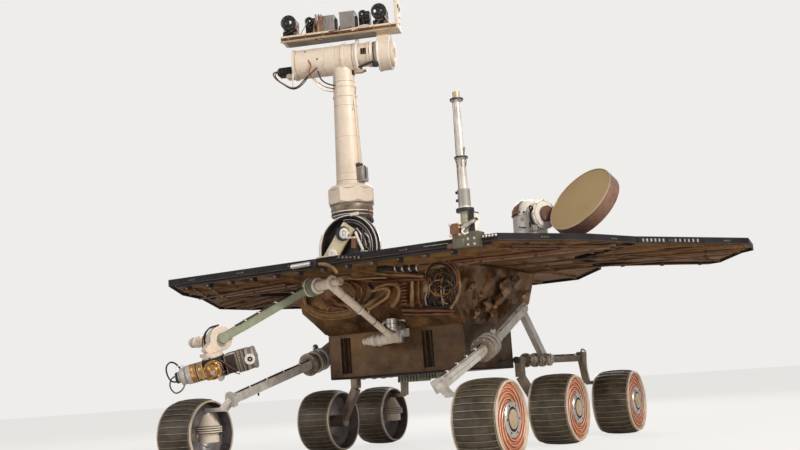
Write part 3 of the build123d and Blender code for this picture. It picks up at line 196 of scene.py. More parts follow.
# Finishes: short name, material, light and dark colour, metallic, roughness, blotch scale, the rest
FINISHES = (
    ("cream", "cream_paint", (0.80, 0.70, 0.60), (0.66, 0.54, 0.44), 0.0, 0.42, 5.0,
     {"wear": (0.86, 0.80, 0.72), "relief": 0.06}),
    # Also the painted highlight on the lenses.
    ("white", "white_paint", (0.86, 0.84, 0.80), (0.62, 0.58, 0.53), 0.0, 0.38, 7.0,
     {"relief": 0.06, "balance": 0.44}),
    ("silver", "silver_metal", (0.66, 0.64, 0.62), (0.42, 0.39, 0.36), 0.75, 0.36, 10.0, {"relief": 0.1}),
    ("beam", "rocker_metal", (0.76, 0.73, 0.70), (0.40, 0.36, 0.33), 0.3, 0.42, 8.0,
     {"wear": (0.84, 0.82, 0.80), "relief": 0.1}),
    # Also, partly, painted shade in the sheet under the camera bar.
    ("bronze", "bronze_metal", (0.33, 0.26, 0.195), (0.14, 0.10, 0.075), 0.5, 0.42, 12.0, {}),
    ("dark", "dark_metal", (0.050, 0.045, 0.045), (0.016, 0.014, 0.016), 0.2, 0.5, 14.0, {"specular": 0.3}),
    # Near-black: black parts and seams, and painted shade inside holes and under the mast's collar.
    ("edge", "panel_edge", (0.024, 0.021, 0.024), (0.009, 0.008, 0.010), 0.0, 0.6, 14.0, {"specular": 0.2}),
    ("under", "panel_under", (0.31, 0.175, 0.075), (0.125, 0.062, 0.027), 0.0, 0.68, 2.4,
     {"grain": 26.0, "stretch": (0.5, 3.4, 1), "crinkle": 0.08, "crinkle_scale": 10.0,
      "wear": (0.40, 0.25, 0.12), "specular": 0.15}),
    ("foil", "gold_foil", (0.29, 0.15, 0.06), (0.055, 0.024, 0.011), 0.6, 0.38, 7.0,
     {"crinkle": 0.5, "crinkle_scale": 16.0, "wear": (0.44, 0.29, 0.155)}),
    ("box", "box_foil", (0.185, 0.098, 0.034), (0.045, 0.023, 0.012), 0.4, 0.44, 4.5,
     {"crinkle": 0.18, "crinkle_scale": 9.0, "wear": (0.26, 0.155, 0.062)}),
    ("tread", "tread_metal", (0.112, 0.088, 0.060), (0.034, 0.026, 0.019), 0.35, 0.5, 16.0,
     {"wear": (0.21, 0.17, 0.115)}),
    ("bowl", "wheel_inside", (0.56, 0.55, 0.56), (0.22, 0.19, 0.20), 0.5, 0.4, 9.0, {}),
    ("foam", "wheel_foam", (0.58, 0.150, 0.050), (0.32, 0.070, 0.025), 0.0, 0.75, 14.0,
     {"grain": 220.0, "relief": 0.5}),
    ("dish", "dish_gold", (0.47, 0.32, 0.15), (0.39, 0.26, 0.115), 0.25, 0.5, 3.0, {"relief": 0.05}),
    ("dish_side", "dish_side", (0.30, 0.17, 0.12), (0.12, 0.055, 0.04), 0.2, 0.45, 5.0, {}),
    ("green", "forearm_paint", (0.36, 0.39, 0.285), (0.22, 0.24, 0.165), 0.3, 0.45, 8.0, {}),
    ("copper", "copper_wire", (0.30, 0.132, 0.064), (0.12, 0.045, 0.022), 0.6, 0.36, 20.0, {}),
    ("straw", "gold_wire", (0.50, 0.34, 0.165), (0.27, 0.155, 0.065), 0.4, 0.42, 20.0, {}),
    ("rust", "brown_pipe", (0.24, 0.112, 0.058), (0.10, 0.041, 0.022), 0.4, 0.4, 12.0, {}),
    ("grey", "grey_casing", (0.40, 0.37, 0.35), (0.27, 0.25, 0.24), 0.3, 0.45, 9.0, {}),
    ("tan", "tan_metal", (0.62, 0.50, 0.34), (0.40, 0.30, 0.19), 0.4, 0.4, 14.0, {}),
    ("cell", "solar_cells", (0.035, 0.035, 0.07), (0.014, 0.014, 0.035), 0.1, 0.18, 6.0, {}),
    ("glass", "lens_glass", (0.02, 0.022, 0.03), (0.008, 0.008, 0.012), 0.0, 0.06, 9.0, {"relief": 0.0}),
    ("gold", "bright_foil", (0.72, 0.42, 0.14), (0.30, 0.13, 0.04), 0.85, 0.24, 18.0,
     {"crinkle": 0.5, "crinkle_scale": 60.0}),
    ("hollow", "wheel_hollow", (0.34, 0.31, 0.33), (0.075, 0.055, 0.07), 0.4, 0.42, 7.0, {}),
    ("bead", "wheel_bead", (0.74, 0.66, 0.55), (0.52, 0.42, 0.32), 0.2, 0.42, 18.0, {}),
    ("tread_line", "cleat_crest", (0.50, 0.43, 0.32), (0.25, 0.20, 0.145), 0.4, 0.4, 18.0, {}),
    ("foam_line", "foam_edge", (0.76, 0.50, 0.36), (0.52, 0.26, 0.16), 0.0, 0.6, 18.0, {}),
    ("foil_light", "pale_foil", (0.42, 0.275, 0.17), (0.13, 0.068, 0.036), 0.5, 0.4, 10.0,
     {"crinkle": 0.4, "crinkle_scale": 26.0, "wear": (0.56, 0.46, 0.36)}),
    ("tan_pipe", "tan_pipe", (0.40, 0.235, 0.12), (0.175, 0.088, 0.04), 0.35, 0.4, 14.0, {}),
    ("straw_paint", "lever_paint", (0.80, 0.72, 0.50), (0.60, 0.50, 0.32), 0.0, 0.4, 9.0, {"relief": 0.06}),
    ("seam", "underside_rail", (0.15, 0.080, 0.040), (0.055, 0.028, 0.015), 0.2, 0.5, 6.0, {}),
    ("olive", "antenna_foot", (0.17, 0.155, 0.105), (0.065, 0.055, 0.04), 0.3, 0.42, 14.0, {}),
)


def make_room():
    """Pale floor, pale world seen by the camera and in reflections, soft studio lamps."""
    mesh = bpy.data.meshes.new("floor")
    mesh.from_pydata([(x * FLOOR_HALF, y * FLOOR_HALF, 0) for x,
                      y in ((-1, -1), (1, -1), (1, 1), (-1, 1))], [],
                     [(0, 1, 2, 3)])
    floor = bpy.data.objects.new("floor", mesh)
    bpy.context.scene.collection.objects.link(floor)
    pale, tree, shader = shader_of("floor")
    shader.inputs["Base Color"].default_value = FLOOR_COLOUR
    shader.inputs["Roughness"].default_value = FLOOR_ROUGHNESS
    glow = node(tree, "ShaderNodeEmission", {"Color": PALE, "Strength": FLOOR_GLOW})
    path = node(tree, "ShaderNodeLightPath")
    share = node(tree, "ShaderNodeMath", {0: path.outputs["Is Camera Ray"], 1: FLOOR_SHARE},
                 operation="MULTIPLY")
    mix = node(tree, "ShaderNodeMixShader", {0: share.outputs[0], 1: shader.outputs[0], 2: glow.outputs[0]})
    tree.links.new(mix.outputs[0], tree.nodes["Material Output"].inputs[0])
    mesh.materials.append(pale)

    world = bpy.data.worlds.new("room")
    bpy.context.scene.world = world
    world.use_nodes = True
    tree = world.node_tree
    dim = tree.nodes["Background"]
    dim.inputs["Color"].default_value = ROOM_COLOUR
    dim.inputs["Strength"].default_value = ROOM_LIGHT
    sky = node(tree, "ShaderNodeBackground", {"Color": PALE, "Strength": SKY_GLOW})
    path = node(tree, "ShaderNodeLightPath")
    straight = node(tree, "ShaderNodeMath", {0: path.outputs["Is Camera Ray"],
                                             1: path.outputs["Is Transmission Ray"]}, operation="MAXIMUM")
    any_of = node(tree, "ShaderNodeMath", {0: path.outputs["Is Glossy Ray"], 1: GLOSS_SHARE,
                                           2: straight.outputs[0]}, operation="MULTIPLY_ADD", use_clamp=True)
    mix = node(tree, "ShaderNodeMixShader", {0: any_of.outputs[0], 1: dim.outputs[0], 2: sky.outputs[0]})
    tree.links.new(mix.outputs[0], tree.nodes["World Output"].inputs[0])

    for name, place, aim, size, power, colour in LAMPS:
        lamp = bpy.data.lights.new(name, "AREA")
        lamp.shape = "DISK"
        lamp.size = size
        lamp.energy = power
        lamp.color = colour
        lit = bpy.data.objects.new(name, lamp)
        lit.location = place
        lit.rotation_mode = "QUATERNION"
        lit.rotation_quaternion = (Vector(aim) - Vector(place)).to_track_quat("-Z", "Y")
        bpy.context.scene.collection.objects.link(lit)


make_camera()
make_room()
bpy.context.scene.view_settings.view_transform = "Standard"
paint = {row[0]: finish_of(*row[1:-1], **row[-1]) for row in FINISHES}


# Shapes. A Build gathers the faces of one piece; each face carries the number of its finish.
class Build:
    def __init__(self):
        self.points = []
        self.faces = []
        self.finish_numbers = []
        self.finishes = []

    def add(self, points, faces, finish):
        first = len(self.points)
        if finish not in self.finishes:
            self.finishes.append(finish)
        self.points += [Vector(point) for point in points]
        self.faces += [[first + index for index in face] for face in faces]
        self.finish_numbers += [self.finishes.index(finish)] * len(faces)

    def moved(self, matrix, other):
        """Takes in another build, moved by a matrix."""
        flip = matrix.to_3x3().determinant() < 0
        points = [matrix @ point for point in other.points]
        for number, finish in enumerate(other.finishes):
            faces = [face[::-1] if flip else face
                     for face, own in zip(other.faces, other.finish_numbers) if own == number]
            used = sorted({index for face in faces for index in face})
            place = {index: position for position, index in enumerate(used)}
            faces = [[place[index] for index in face] for face in faces]
            self.add([points[index] for index in used], faces, finish)

    def piece(self, name, body, slot, sharp=38, stands_for=()):
        mesh = bpy.data.meshes.new(name)
        mesh.from_pydata(self.points, [], self.faces)
        for finish in self.finishes:
            mesh.materials.append(paint[finish])
        mesh.polygons.foreach_set("material_index", self.finish_numbers)
        mesh.validate()
        mesh.shade_smooth()
        mesh.set_sharp_from_angle(angle=math.radians(sharp))
        made = bpy.data.objects.new(name, mesh)
        bpy.context.scene.collection.objects.link(made)
        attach(made, body)
        if stands_for:
            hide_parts(*stands_for)


def circle(count, radius=1.0, height=0.0, shift=0.0):
    """Points round the Z axis."""
    turns = [math.tau * (index + shift) / count for index in range(count)]
    return [Vector((radius * math.cos(turn), radius * math.sin(turn), height)) for turn in turns]


def frame_along(start, end, side=(0.31, 0.17, 0.93)):
    """Matrix at start whose Z runs to end and whose X lies nearest to side; and the length."""
    start = Vector(start)
    run = Vector(end) - start
    forward = run.normalized()
    across = Vector(side) - forward * Vector(side).dot(forward)
    if across.length < 1e-6:
        across = forward.orthogonal()
    across.normalize()
    matrix = Matrix((across, forward.cross(across), forward)).transposed().to_4x4()
    matrix.translation = start
    return matrix, run.length


def turned(build, matrix, profile, finish, sides=32, arc=math.tau):
    """Surface of revolution about the matrix's Z, from (radius, height) points."""
    points = []
    faces = []
    rows = []
    whole = abs(arc - math.tau) < 1e-6
    steps = sides if whole else sides + 1
    for radius, height in profile:
        if radius < 1e-7:
            rows.append([len(points)] * steps)
            points.append(matrix @ Vector((0, 0, height)))
            continue
        rows.append(list(range(len(points), len(points) + steps)))
        for step in range(steps):
            turn = arc * step / sides
            points.append(matrix @ Vector((radius * math.cos(turn), radius * math.sin(turn), height)))
    for low, high in zip(rows, rows[1:]):
        for step in range(sides):
            after = (step + 1) % steps if whole else step + 1
            face = [low[step], low[after], high[after], high[step]]
            trimmed = [index for place, index in enumerate(face) if index != face[place - 1]]
            if len(trimmed) > 2:
                faces.append(trimmed)
    build.add(points, faces, finish)


def rings(build, matrix, rows, drop=0.004, ease=0.001, sides=32, share=0.5):
    """Raised bands round the matrix's Z; rows are (low, high, radius, finish)."""
    for low, high, radius, finish in rows:
        cut = min(ease, (high - low) * share)
        turned(build, matrix, [(radius - drop, low), (radius, low + cut), (radius, high - cut),
                               (radius - drop, high)], finish, sides)


def rod(build, start, end, radius, finish, sides=20):
    """Round bar with chamfered ends."""
    matrix, length = frame_along(start, end)
    cut = radius * 0.12
    turned(build, matrix, [(0, 0), (radius - cut, 0), (radius, cut), (radius, length - cut),
                           (radius - cut, length), (0, length)], finish, sides)


def ringed(build, start, end, corners, finish, sides=28):
    """Stepped housing: corners are (share of the length, radius) from start to end."""
    matrix, length = frame_along(start, end)
    profile = [(0, 0)] + [(radius, share * length) for share, radius in corners] + [(0, length)]
    turned(build, matrix, profile, finish, sides)


def block(build, low, high, finish, matrix=None, chamfer=0.002):
    """Box with chamfered edges."""
    matrix = matrix or Matrix.Identity(4)
    low, high = Vector(low), Vector(high)
    cut = min(chamfer, min(high - low) * 0.3)
    middle = (low + high) / 2
    half = (high - low) / 2
    signs = [(a, b, c) for a in (-1, 1) for b in (-1, 1) for c in (-1, 1)]
    points = []
    index = {}
    faces = []
    for axis in range(3):
        for sign in signs:
            offset = [sign[k] * (half[k] - (0 if k == axis else cut)) for k in range(3)]
            index[(axis, sign)] = len(points)
            points.append(matrix @ (middle + Vector(offset)))

    def corner(axis, u, v, side, a, b, plane):
        sign = [0, 0, 0]
        sign[axis], sign[u], sign[v] = side, a, b
        return index[(plane, tuple(sign))]

    for axis in range(3):
        u, v = [k for k in range(3) if k != axis]
        for side in (-1, 1):
            loop = [corner(axis, u, v, side, a, b, axis) for a, b in ((-1, -1), (1, -1), (1, 1), (-1, 1))]
            faces.append(loop[::-1] if (side > 0) == (axis == 1) else loop)
        for a, b in ((-1, -1), (-1, 1), (1, -1), (1, 1)):
            loop = [corner(axis, u, v, side, a, b, plane) for side,
                    plane in ((-1, u), (1, u), (1, v), (-1, v))]
            faces.append(loop if (a * b > 0) == (axis == 1) else loop[::-1])
    for sign in signs:
        loop = [index[(axis, sign)] for axis in range(3)]
        faces.append(loop if sign[0] * sign[1] * sign[2] > 0 else loop[::-1])
    build.add(points, faces, finish)


def blocks(build, rows, matrix=None):
    """Boxes from (low corner, high corner, finish) rows."""
    for low, high, finish in rows:
        block(build, low, high, finish, matrix)


def lump(build, middle, half, finish):
    """Box about its middle."""
    block(build, middle - Vector(half), middle + Vector(half), finish)


def bar(build, start, end, height, depth, finish, up=(0, 0, 1), chamfer=0.0025, grow=0.0):
    """Chamfered box beam: height lies along up, depth across it."""
    matrix, length = frame_along(start, end, up)
    block(build, (-height / 2, -depth / 2, -grow), (height / 2, depth / 2, length + grow), finish, matrix,
          chamfer)


def smooth_line(points, steps=6, closed=False):
    """Points of a smooth line through the given ones."""
    points = [Vector(point) for point in points]
    if len(points) < 3 and not closed:
        return points
    line = []
    count = len(points)
    for span in range(count if closed else count - 1):
        if closed:
            a, b, c, d = [points[(span + shift) % count] for shift in (-1, 0, 1, 2)]
        else:
            b, c = points[span], points[span + 1]
            a = points[span - 1] if span else b * 2 - c
            d = points[span + 2] if span + 2 < count else c * 2 - b
        for step in range(steps):
            t = step / steps
            line.append(0.5 * ((2 * b) + (c - a) * t + (2 * a - 5 * b + 4 * c - d) * t * t
                               + (3 * b - a - 3 * c + d) * t * t * t))
    if not closed:
        line.append(points[-1])
    return line


def tube(build, points, radius, finish, sides=8, steps=5, closed=False):
    """Bent pipe or wire along a smooth line through the points, with rounded ends."""
    line = smooth_line(points, steps, closed)
    count = len(line)
    made = []
    normal = None
    for place, point in enumerate(line):
        before = line[place - 1] if place or closed else point
        after = line[(place + 1) % count] if place + 1 < count or closed else point
        along = after - before
        along = along.normalized() if along.length > 1e-9 else Vector((0, 0, 1))
        if normal is None:
            normal = along.orthogonal().normalized()
        else:
            normal = normal - along * normal.dot(along)
            normal = normal.normalized() if normal.length > 1e-6 else along.orthogonal().normalized()
        side = along.cross(normal)
        made += [point + (normal * step.x + side * step.y) * radius for step in circle(sides)]
    faces = []
    for place in range(count if closed else count - 1):
        low, high = place * sides, ((place + 1) % count) * sides
        for step in range(sides):
            after = (step + 1) % sides
            faces.append([low + step, low + after, high + after, high + step])
    if not closed:
        for end, inner, first in ((line[0], line[1], 0), (line[-1], line[-2], (count - 1) * sides)):
            tip = len(made)
            made.append(end + (end - inner).normalized() * radius * 0.5)
            for step in range(sides):
                face = [first + step, first + (step + 1) % sides, tip]
                faces.append(face[::-1] if first == 0 else face)
    build.add(made, faces, finish)


def wires(build, rows, sides=6, place=Vector):
    """Pipes from (points, radius, finish) rows; place turns each point into the rover's frame."""
    for points, radius, finish in rows:
        tube(build, [place(point) for point in points], radius, finish, sides)


def hoop(build, middle, radius, thick, finish, plane=(X, Y), count=10, sides=6, matrix=None):
    """Closed ring of wire about a middle, in one of the main planes."""
    line = []
    for step in circle(count, radius):
        point = Vector(middle)
        point[plane[0]] += step.x
        point[plane[1]] += step.y
        line.append(matrix @ point if matrix else point)
    tube(build, line, thick, finish, sides, 2, True)


def bolt(build, place, out, radius, finish):
    """Hexagon head on a washer."""
    place, out = Vector(place), Vector(out).normalized()
    height = radius * 0.7
    matrix, _ = frame_along(place - out * 0.001, place + out)
    turned(build, matrix, [(0, 0), (radius * 1.35, 0), (radius * 1.35, radius * 0.3), (0, radius * 0.3)],
           finish, 12)
    turned(build, matrix, [(radius, radius * 0.25), (radius, height), (radius * 0.8, height * 1.15),
                           (0, height * 1.15)], finish, 6)


def hole(build, place, out, radius, finish="edge"):
    """Dark dished opening, drawn as a short sunk cup with a lip; its near-black default finish is painted
    shade standing in for the inside of a deeper hole.
    """
    place, out = Vector(place), Vector(out).normalized()
    matrix, _ = frame_along(place - out * 0.001, place + out)
    turned(build, matrix, [(0, 0.0011), (radius * 0.75, 0.0012), (radius * 0.9, 0.0020), (radius, 0.0016),
                           (radius * 1.05, 0)], finish, 12)


def screws(build, matrix, count, radius, height, size, finish="silver", out=(0, 0, 1), shift=0.0, kind=bolt):
    """Circle of bolts or holes about the matrix's Z."""
    for step in circle(count, radius, height, shift):
        kind(build, matrix @ step, matrix.to_3x3() @ Vector(out), size, finish)


def radial_screws(build, matrix, count, radius, height, size, finish="silver", rise=0.0):
    """Circle of bolts that point away from the matrix's Z."""
    for step in circle(count):
        place = Vector((radius * step.x, radius * step.y, height))
        bolt(build, matrix @ place, matrix.to_3x3() @ Vector((step.x, step.y, rise)), size, finish)


def rough(point, size, depth, seed=0.0):
    """Signed crumple at a point: broad folds and sharp creases."""
    shifted = Vector(point) / size + Vector((seed, seed * 0.7, -seed))
    broad = noise.noise(shifted)
    crease = noise.noise(shifted * 2.3 + Vector((broad, 0, -broad)) * 1.6)
    fine = noise.noise(shifted * 5.1)
    return depth * (0.9 * broad + 0.7 * (0.5 - 2.0 * abs(crease)) + 0.3 * fine)


def crumpled(build, grid, finish, size, depth, seed, out, hold_edges=True):
    """Sheet from rows of points, pushed in and out like foil."""
    rows, columns = len(grid), len(grid[0])
    made = []
    for r in range(rows):
        for c in range(columns):
            here = Vector(grid[r][c])
            right = Vector(grid[r][min(c + 1, columns - 1)]) - Vector(grid[r][max(c - 1, 0)])
            down = Vector(grid[min(r + 1, rows - 1)][c]) - Vector(grid[max(r - 1, 0)][c])
            normal = right.cross(down)
            normal = normal.normalized() if normal.length > 1e-9 else Vector((0, 0, 1))
            if normal.dot(Vector(out)) < 0:
                normal = -normal
            fade = min(1.0, min(r, c, rows - 1 - r, columns - 1 - c) / 2) if hold_edges else 1.0
            made.append(here + normal * rough(here, size, depth, seed) * fade)
    build.add(made, [[r * columns + c, r * columns + c + 1, (r + 1) * columns + c + 1, (r + 1) * columns + c]
                     for r in range(rows - 1) for c in range(columns - 1)], finish)


def between(a, b, share):
    return Vector(a) * (1 - share) + Vector(b) * share


def patch(corners, rows, columns):
    """Grid of points over a four-cornered face; corners go round it."""
    a, b, c, d = corners
    return [[between(between(a, b, j / columns), between(d, c, j / columns), i / rows)
             for j in range(columns + 1)] for i in range(rows + 1)]


def placed(x, y, z, turn=0.0, axis="Z"):
    """Matrix at a place, turned by an angle in degrees about one axis."""
    return Matrix.Translation((x, y, z)) @ Matrix.Rotation(math.radians(turn), 4, axis)


# Finish of each node of the solids, by the start of its name
COATS = {
    "box": ("electronics_box",), "foil": ("upper_body",), "grey": ("belly_boxes", "mast_bracket",
    "camera_electronics", "microscope"), "under": ("solar_",), "silver": ("panel_hinges", "arm_bracket",
    "spectrometer"), "dark": ("cable_drum", "cameras", "turret_hub"), "cream": ("mast_collar", "mast_tube",
    "mast_head", "camera_bar", "arm_shoulder", "arm_upper_link", "arm_wrist", "steering_unit"),
    "beam": ("low_gain_antenna", "rocker_"), "olive": ("low_gain_bracket",),
    "white": ("antenna_pedestal", "antenna_gimbal"), "bronze": ("bogie_", "grinding_tool"),
    "dish_side": ("antenna_dish",), "green": ("arm_forearm",), "gold": ("particle_sensor",),
    "tread": ("wheel_rim",), "foam": ("wheel_disc",),
}
for name, piece in nodes.items():
    coat = [finish for finish, starts in COATS.items() if name.startswith(starts)][0]
    piece.data.materials.clear()
    piece.data.materials.append(paint[coat])

# Frames in which the turned groups are drawn; ALONG_X turns a circle's Z into X
MAST = (0.027, -0.450)
MAST_AXIS = placed(*MAST, 0)
HEAD = placed(*MAST, 0, 19)
GIMBAL = placed(0.463, 0.140, 0, -27.1)
ARM_FOOT = (0.040, -0.242, 0.429)
ARM = placed(*ARM_FOOT, -22)
ALONG_X = Matrix(((0, 0, 1), (1, 0, 0), (0, 1, 0))).to_4x4()
FORWARD = Vector((0, -1, 0))


# Wheels, drawn about the middle of a left wheel
WHEEL_RADIUS = 0.130
TREAD_HALF, TREAD_STEPS = 0.0765, 14
CLEATS, CLEAT_HALF, CLEAT_ROWS = 34, 0.0715, 10
FACE_X = 0.0675
SPIRAL_START, SPIRAL_END, SPIRAL_TURN = 0.054, 0.1105, math.radians(200)
CONE_X = -0.062
AXLES = {"front": (0.585, -0.625), "middle": (0.516, 0.139), "rear": (0.575, 0.670)}


def tread_radius(x):
    """Crowned outline of the tread at a distance from the wheel's middle."""
    return 0.1262 - 0.0072 * (abs(x) / 0.0775) ** 2.4


def cleat():
    """One thin raised rib across the tread."""
    made = Build()
    points = []
    for row in range(CLEAT_ROWS + 1):
        x = CLEAT_HALF * (2 * row / CLEAT_ROWS - 1)
        base = tread_radius(x) - 0.0012
        high = base + 0.0012 + 0.0036 * min(1.0, (1.04 - abs(x) / CLEAT_HALF) * 4)
        points += [(x, across, -r) for across, r in ((-0.0018, base), (-0.0007, high), (0.0007, high),
                                                     (0.0018, base))]
    strips = [[[row * 4 + column + step for step in (0, 1, 5, 4)] for row in range(CLEAT_ROWS)]
              for column in range(3)]
    last = CLEAT_ROWS * 4
    made.add(points, strips[0] + strips[2] + [[3, 2, 1, 0], [last, last + 1, last + 2, last + 3]], "tread")
    made.add(points, strips[1], "tread_line")
    return made


def wheel_tread():
    """Crowned drum, thin raised cleats across it, bright beads on both edges, bowl inside."""
    made = Build()
    places = [TREAD_HALF * (2 * k / TREAD_STEPS - 1) for k in range(TREAD_STEPS + 1)]
    outer = [(tread_radius(x), x) for x in places]
    turned(made, ALONG_X, outer, "tread", 96)
    turned(made, ALONG_X, [(r - 0.0052, x) for r, x in reversed(outer)], "hollow", 72)
    for side in (-1, 1):
        for profile, finish in ((((0.1135, 0.0745), (0.1140, 0.0772), (0.1168, 0.0778), (0.1196, 0.0768),
                                  (0.1203, 0.0745), (0.1201, 0.0722)), "bead"),
                                (((0.1207, 0.0700), (0.1216, 0.0692), (0.1210, 0.0676)), "tread_line")):
            turned(made, ALONG_X, [(r, side * x) for r, x in profile][::-side], finish, 96)
    ridge = cleat()
    for index in range(CLEATS):
        made.moved(Matrix.Rotation(math.tau * index / CLEATS, 4, "X"), ridge)
    # Bowl between the open side and the disc's back, with ribs
    bowl = [(0.1120, -0.030), (0.1085, 0.004), (0.0960, 0.026), (0.0700, 0.0395), (0.0340, 0.0405),
            (0.0330, 0.0380), (0.0690, 0.0368), (0.0945, 0.0238), (0.1068, 0.002), (0.1095, -0.030)]
    turned(made, ALONG_X, bowl, "bowl", 64)
    rib = Build()
    tube(rib, [(0.0365, 0, 0.036), (0.0355, 0, 0.068), (0.0215, 0, 0.0935), (0.000, 0, 0.1055)], 0.0016,
         "bowl", 6, 4)
    for index in range(12):
        made.moved(Matrix.Rotation(math.tau * index / 12, 4, "X"), rib)
    return made


def wheel_face():
    """Spiral flexures' bright edges, hub ring with bolts, cap."""
    made = Build()
    for blade in range(6):
        for shift, rise, radius, finish in ((0.0, 0.0034, 0.0014, "bead"),
                                            (0.52, 0.0004, 0.0010, "foam_line")):
            line = []
            for share in [step / 16 for step in range(17)]:
                r = SPIRAL_START + (SPIRAL_END - SPIRAL_START) * share
                turn = math.tau * blade / 6 + shift + SPIRAL_TURN * share
                line.append((FACE_X + rise, r * math.cos(turn), r * math.sin(turn)))
            tube(made, line, radius, finish, 5, 2)
    face = Matrix.Translation((FACE_X, 0, 0)) @ ALONG_X
    for profile, finish, sides in (
            (((0.0550, -0.0010), (0.0562, 0.0060), (0.0530, 0.0100), (0.0400, 0.0104), (0.0382, 0.0092)),
             "silver", 56),
            (((0.0382, 0.0092), (0.0375, 0.0088), (0.0305, 0.0090)), "edge", 48),
            (((0.0305, 0.0086), (0.0298, 0.0115), (0.0220, 0.0132), (0.0, 0.0138)), "tan", 40),
            (((0.1118, -0.0010), (0.1122, 0.0045), (0.1142, 0.0095)), "bead", 72)):
        turned(made, face, profile, finish, sides)
    screws(made, face, 6, 0.0465, 0.0102, 0.0022, shift=0.5)
    screws(made, face, 6, 0.0465, 0.0102, 0.0034, "edge", kind=hole)
    screws(made, face, 6, 0.0180, 0.0130, 0.0012, "edge", shift=0.4, kind=hole)
    return made


def steering_trim():
    """Seams, bolts and cable on the steering cone."""
    made = Build()
    cone = placed(CONE_X, 0, 0)
    for h in (0.0275, 0.0195, 0.0115):
        turned(made, cone, [(0.0450, h - 0.0062), (0.0476, h - 0.0050), (0.0476, h - 0.0012),
                            (0.0450, h + 0.0002)],
               "cream", 48)
    rings(made, cone, [(h - 0.0010, h + 0.0012, 0.0474, "edge") for h in (0.0286, 0.0205, 0.0125, 0.0045)],
          0.0024, 0.0004, 48)
    turned(made, cone, [(0.0162, 0.0700), (0.0185, 0.0712), (0.0182, 0.0760), (0.0155, 0.0774)], "silver", 32)
    radial_screws(made, cone, 6, 0.0310, 0.0480, 0.0018, rise=0.62)
    tube(made, [(-0.098, 0.012, -0.004), (-0.090, 0.030, 0.004), (-0.060, 0.040, 0.008),
                (-0.020, 0.034, 0.006),
                (0.010, 0.025, 0.004)], 0.0022, "dark", 6, 4)
    rings(made, ALONG_X, ((-0.030, -0.018, 0.0262, "silver"),), 0.0020, 0.002)
    rings(made, ALONG_X, ((0.004, 0.014, 0.0255, "bronze"),), 0.0013, 0.002)
    return made


def make_wheels():
    parts = (("tread", "wheel", wheel_tread(), "wheel_metal"), ("hub", "wheel", wheel_face(), "silver_metal"),
             ("steering_trim", "steering", steering_trim(), "cream_paint"))
    for axle, (half_track, y) in AXLES.items():
        for side, sign in (("left", 1), ("right", -1)):
            place = placed(sign * half_track, y, WHEEL_RADIUS) @ Matrix.Diagonal((sign, 1, 1, 1))
            for part, body, build, slot in parts:
                if part == "steering_trim" and axle == "middle":
                    continue
                here = Build()
                here.moved(place, build)
                here.piece(f"{part}_{axle}_{side}", f"{body}_{axle}_{side}", slot,
                           stands_for=(f"wheel_rim_{axle}_{side}",) if part == "tread" else ())


make_wheels()


# Body walls as (height, distance) rows
FRONT_WALL = ((0.295, -0.160), (0.465, -0.164), (0.505, -0.220), (0.552, -0.282), (0.676, -0.300))
SIDE_WALL = ((0.295, 0.290), (0.465, 0.294), (0.505, 0.304), (0.552, 0.322), (0.676, 0.334))
REAR_WALL = ((0.295, 0.255), (0.465, 0.265), (0.505, 0.320), (0.552, 0.390), (0.676, 0.446))
FOIL_OUT = 0.004
FOIL_HEIGHTS = (0.470, 0.484, 0.500, 0.512, 0.526, 0.540, 0.552, 0.566, 0.582, 0.598, 0.614, 0.630, 0.646,
                0.662,
                0.674)
# Foil sheets: wall, axis across it, sign, columns, size of folds, depth of folds, seed
FOILS = ((FRONT_WALL, Y, -1, 56, 0.055, 0.009, 2.0), (REAR_WALL, Y, 1, 44, 0.07, 0.009, 5.0),
         (SIDE_WALL, X, -1, 60, 0.075, 0.015, 6.0), (SIDE_WALL, X, 1, 60, 0.075, 0.015, 8.0))
# Loose folds: pixel u, pixel v, size; those right of the corner lie on the side wall
CORNER_U = 462
FOLDS = ((504, 288, 0.050), (497, 300, 0.036), (515, 282, 0.034), (486, 305, 0.032), (479, 296, 0.026),
         (470, 287, 0.024), (523, 296, 0.030), (492, 315, 0.030), (508, 305, 0.028), (475, 312, 0.026))
# Pipes in front of the body: pixel path, radius, finish, distance out of the wall
FRONT_PIPES = (
    (((352, 273.5), (362, 270.5), (375, 272.5), (390, 274.5), (410, 275), (426, 276.5)), 0.0075,
     "tan_pipe", 0.024),
    (((364, 280), (380, 281.5), (395, 280), (412, 279.5), (426, 279)), 0.0055, "rust", 0.020),
    (((349, 277), (356, 279), (372, 278), (386, 277.5)), 0.004, "straw", 0.026),
    (((375.5, 288), (386.5, 284), (396, 284.5), (399.5, 291), (397.5, 299), (392.5, 306)), 0.0085,
     "tan_pipe", 0.026),
    (((372, 291), (383, 288.5), (389, 290), (387, 297), (378, 303.5), (367, 310.5)), 0.0060, "straw", 0.022),
    (((412, 281), (412.3, 290), (412, 298), (412.2, 305.5)), 0.0080, "tan_pipe", 0.022),
    (((419, 280), (418.5, 290), (419, 300), (421, 306)), 0.0050, "rust", 0.018),
    (((402, 310), (420, 310.3), (440, 310.3), (454, 310.5)), 0.0070, "rust", 0.026),
    (((403, 314), (420, 314.3), (440, 314), (453, 313.5)), 0.0055, "copper", 0.022),
    (((345, 282), (352, 285), (356, 292), (352, 299), (345, 303)), 0.0070, "rust", 0.020),
    (((352, 282), (360, 286), (362, 294), (358, 302), (362, 309)), 0.0060, "copper", 0.018),
    (((331, 297), (338, 303), (346, 305), (352, 311)), 0.0065, "tan_pipe", 0.020),
    (((322, 300), (328, 306), (337, 308), (346, 309)), 0.0060, "rust", 0.020),
    (((368, 284), (373, 291), (370, 299), (364, 305)), 0.0050, "dark", 0.014),
    (((424, 300), (430, 306), (440, 307), (452, 304)), 0.0050, "dark", 0.018),
    (((453, 266), (458, 276), (460, 287), (457, 298), (451, 308)), 0.0055, "straw", 0.022))
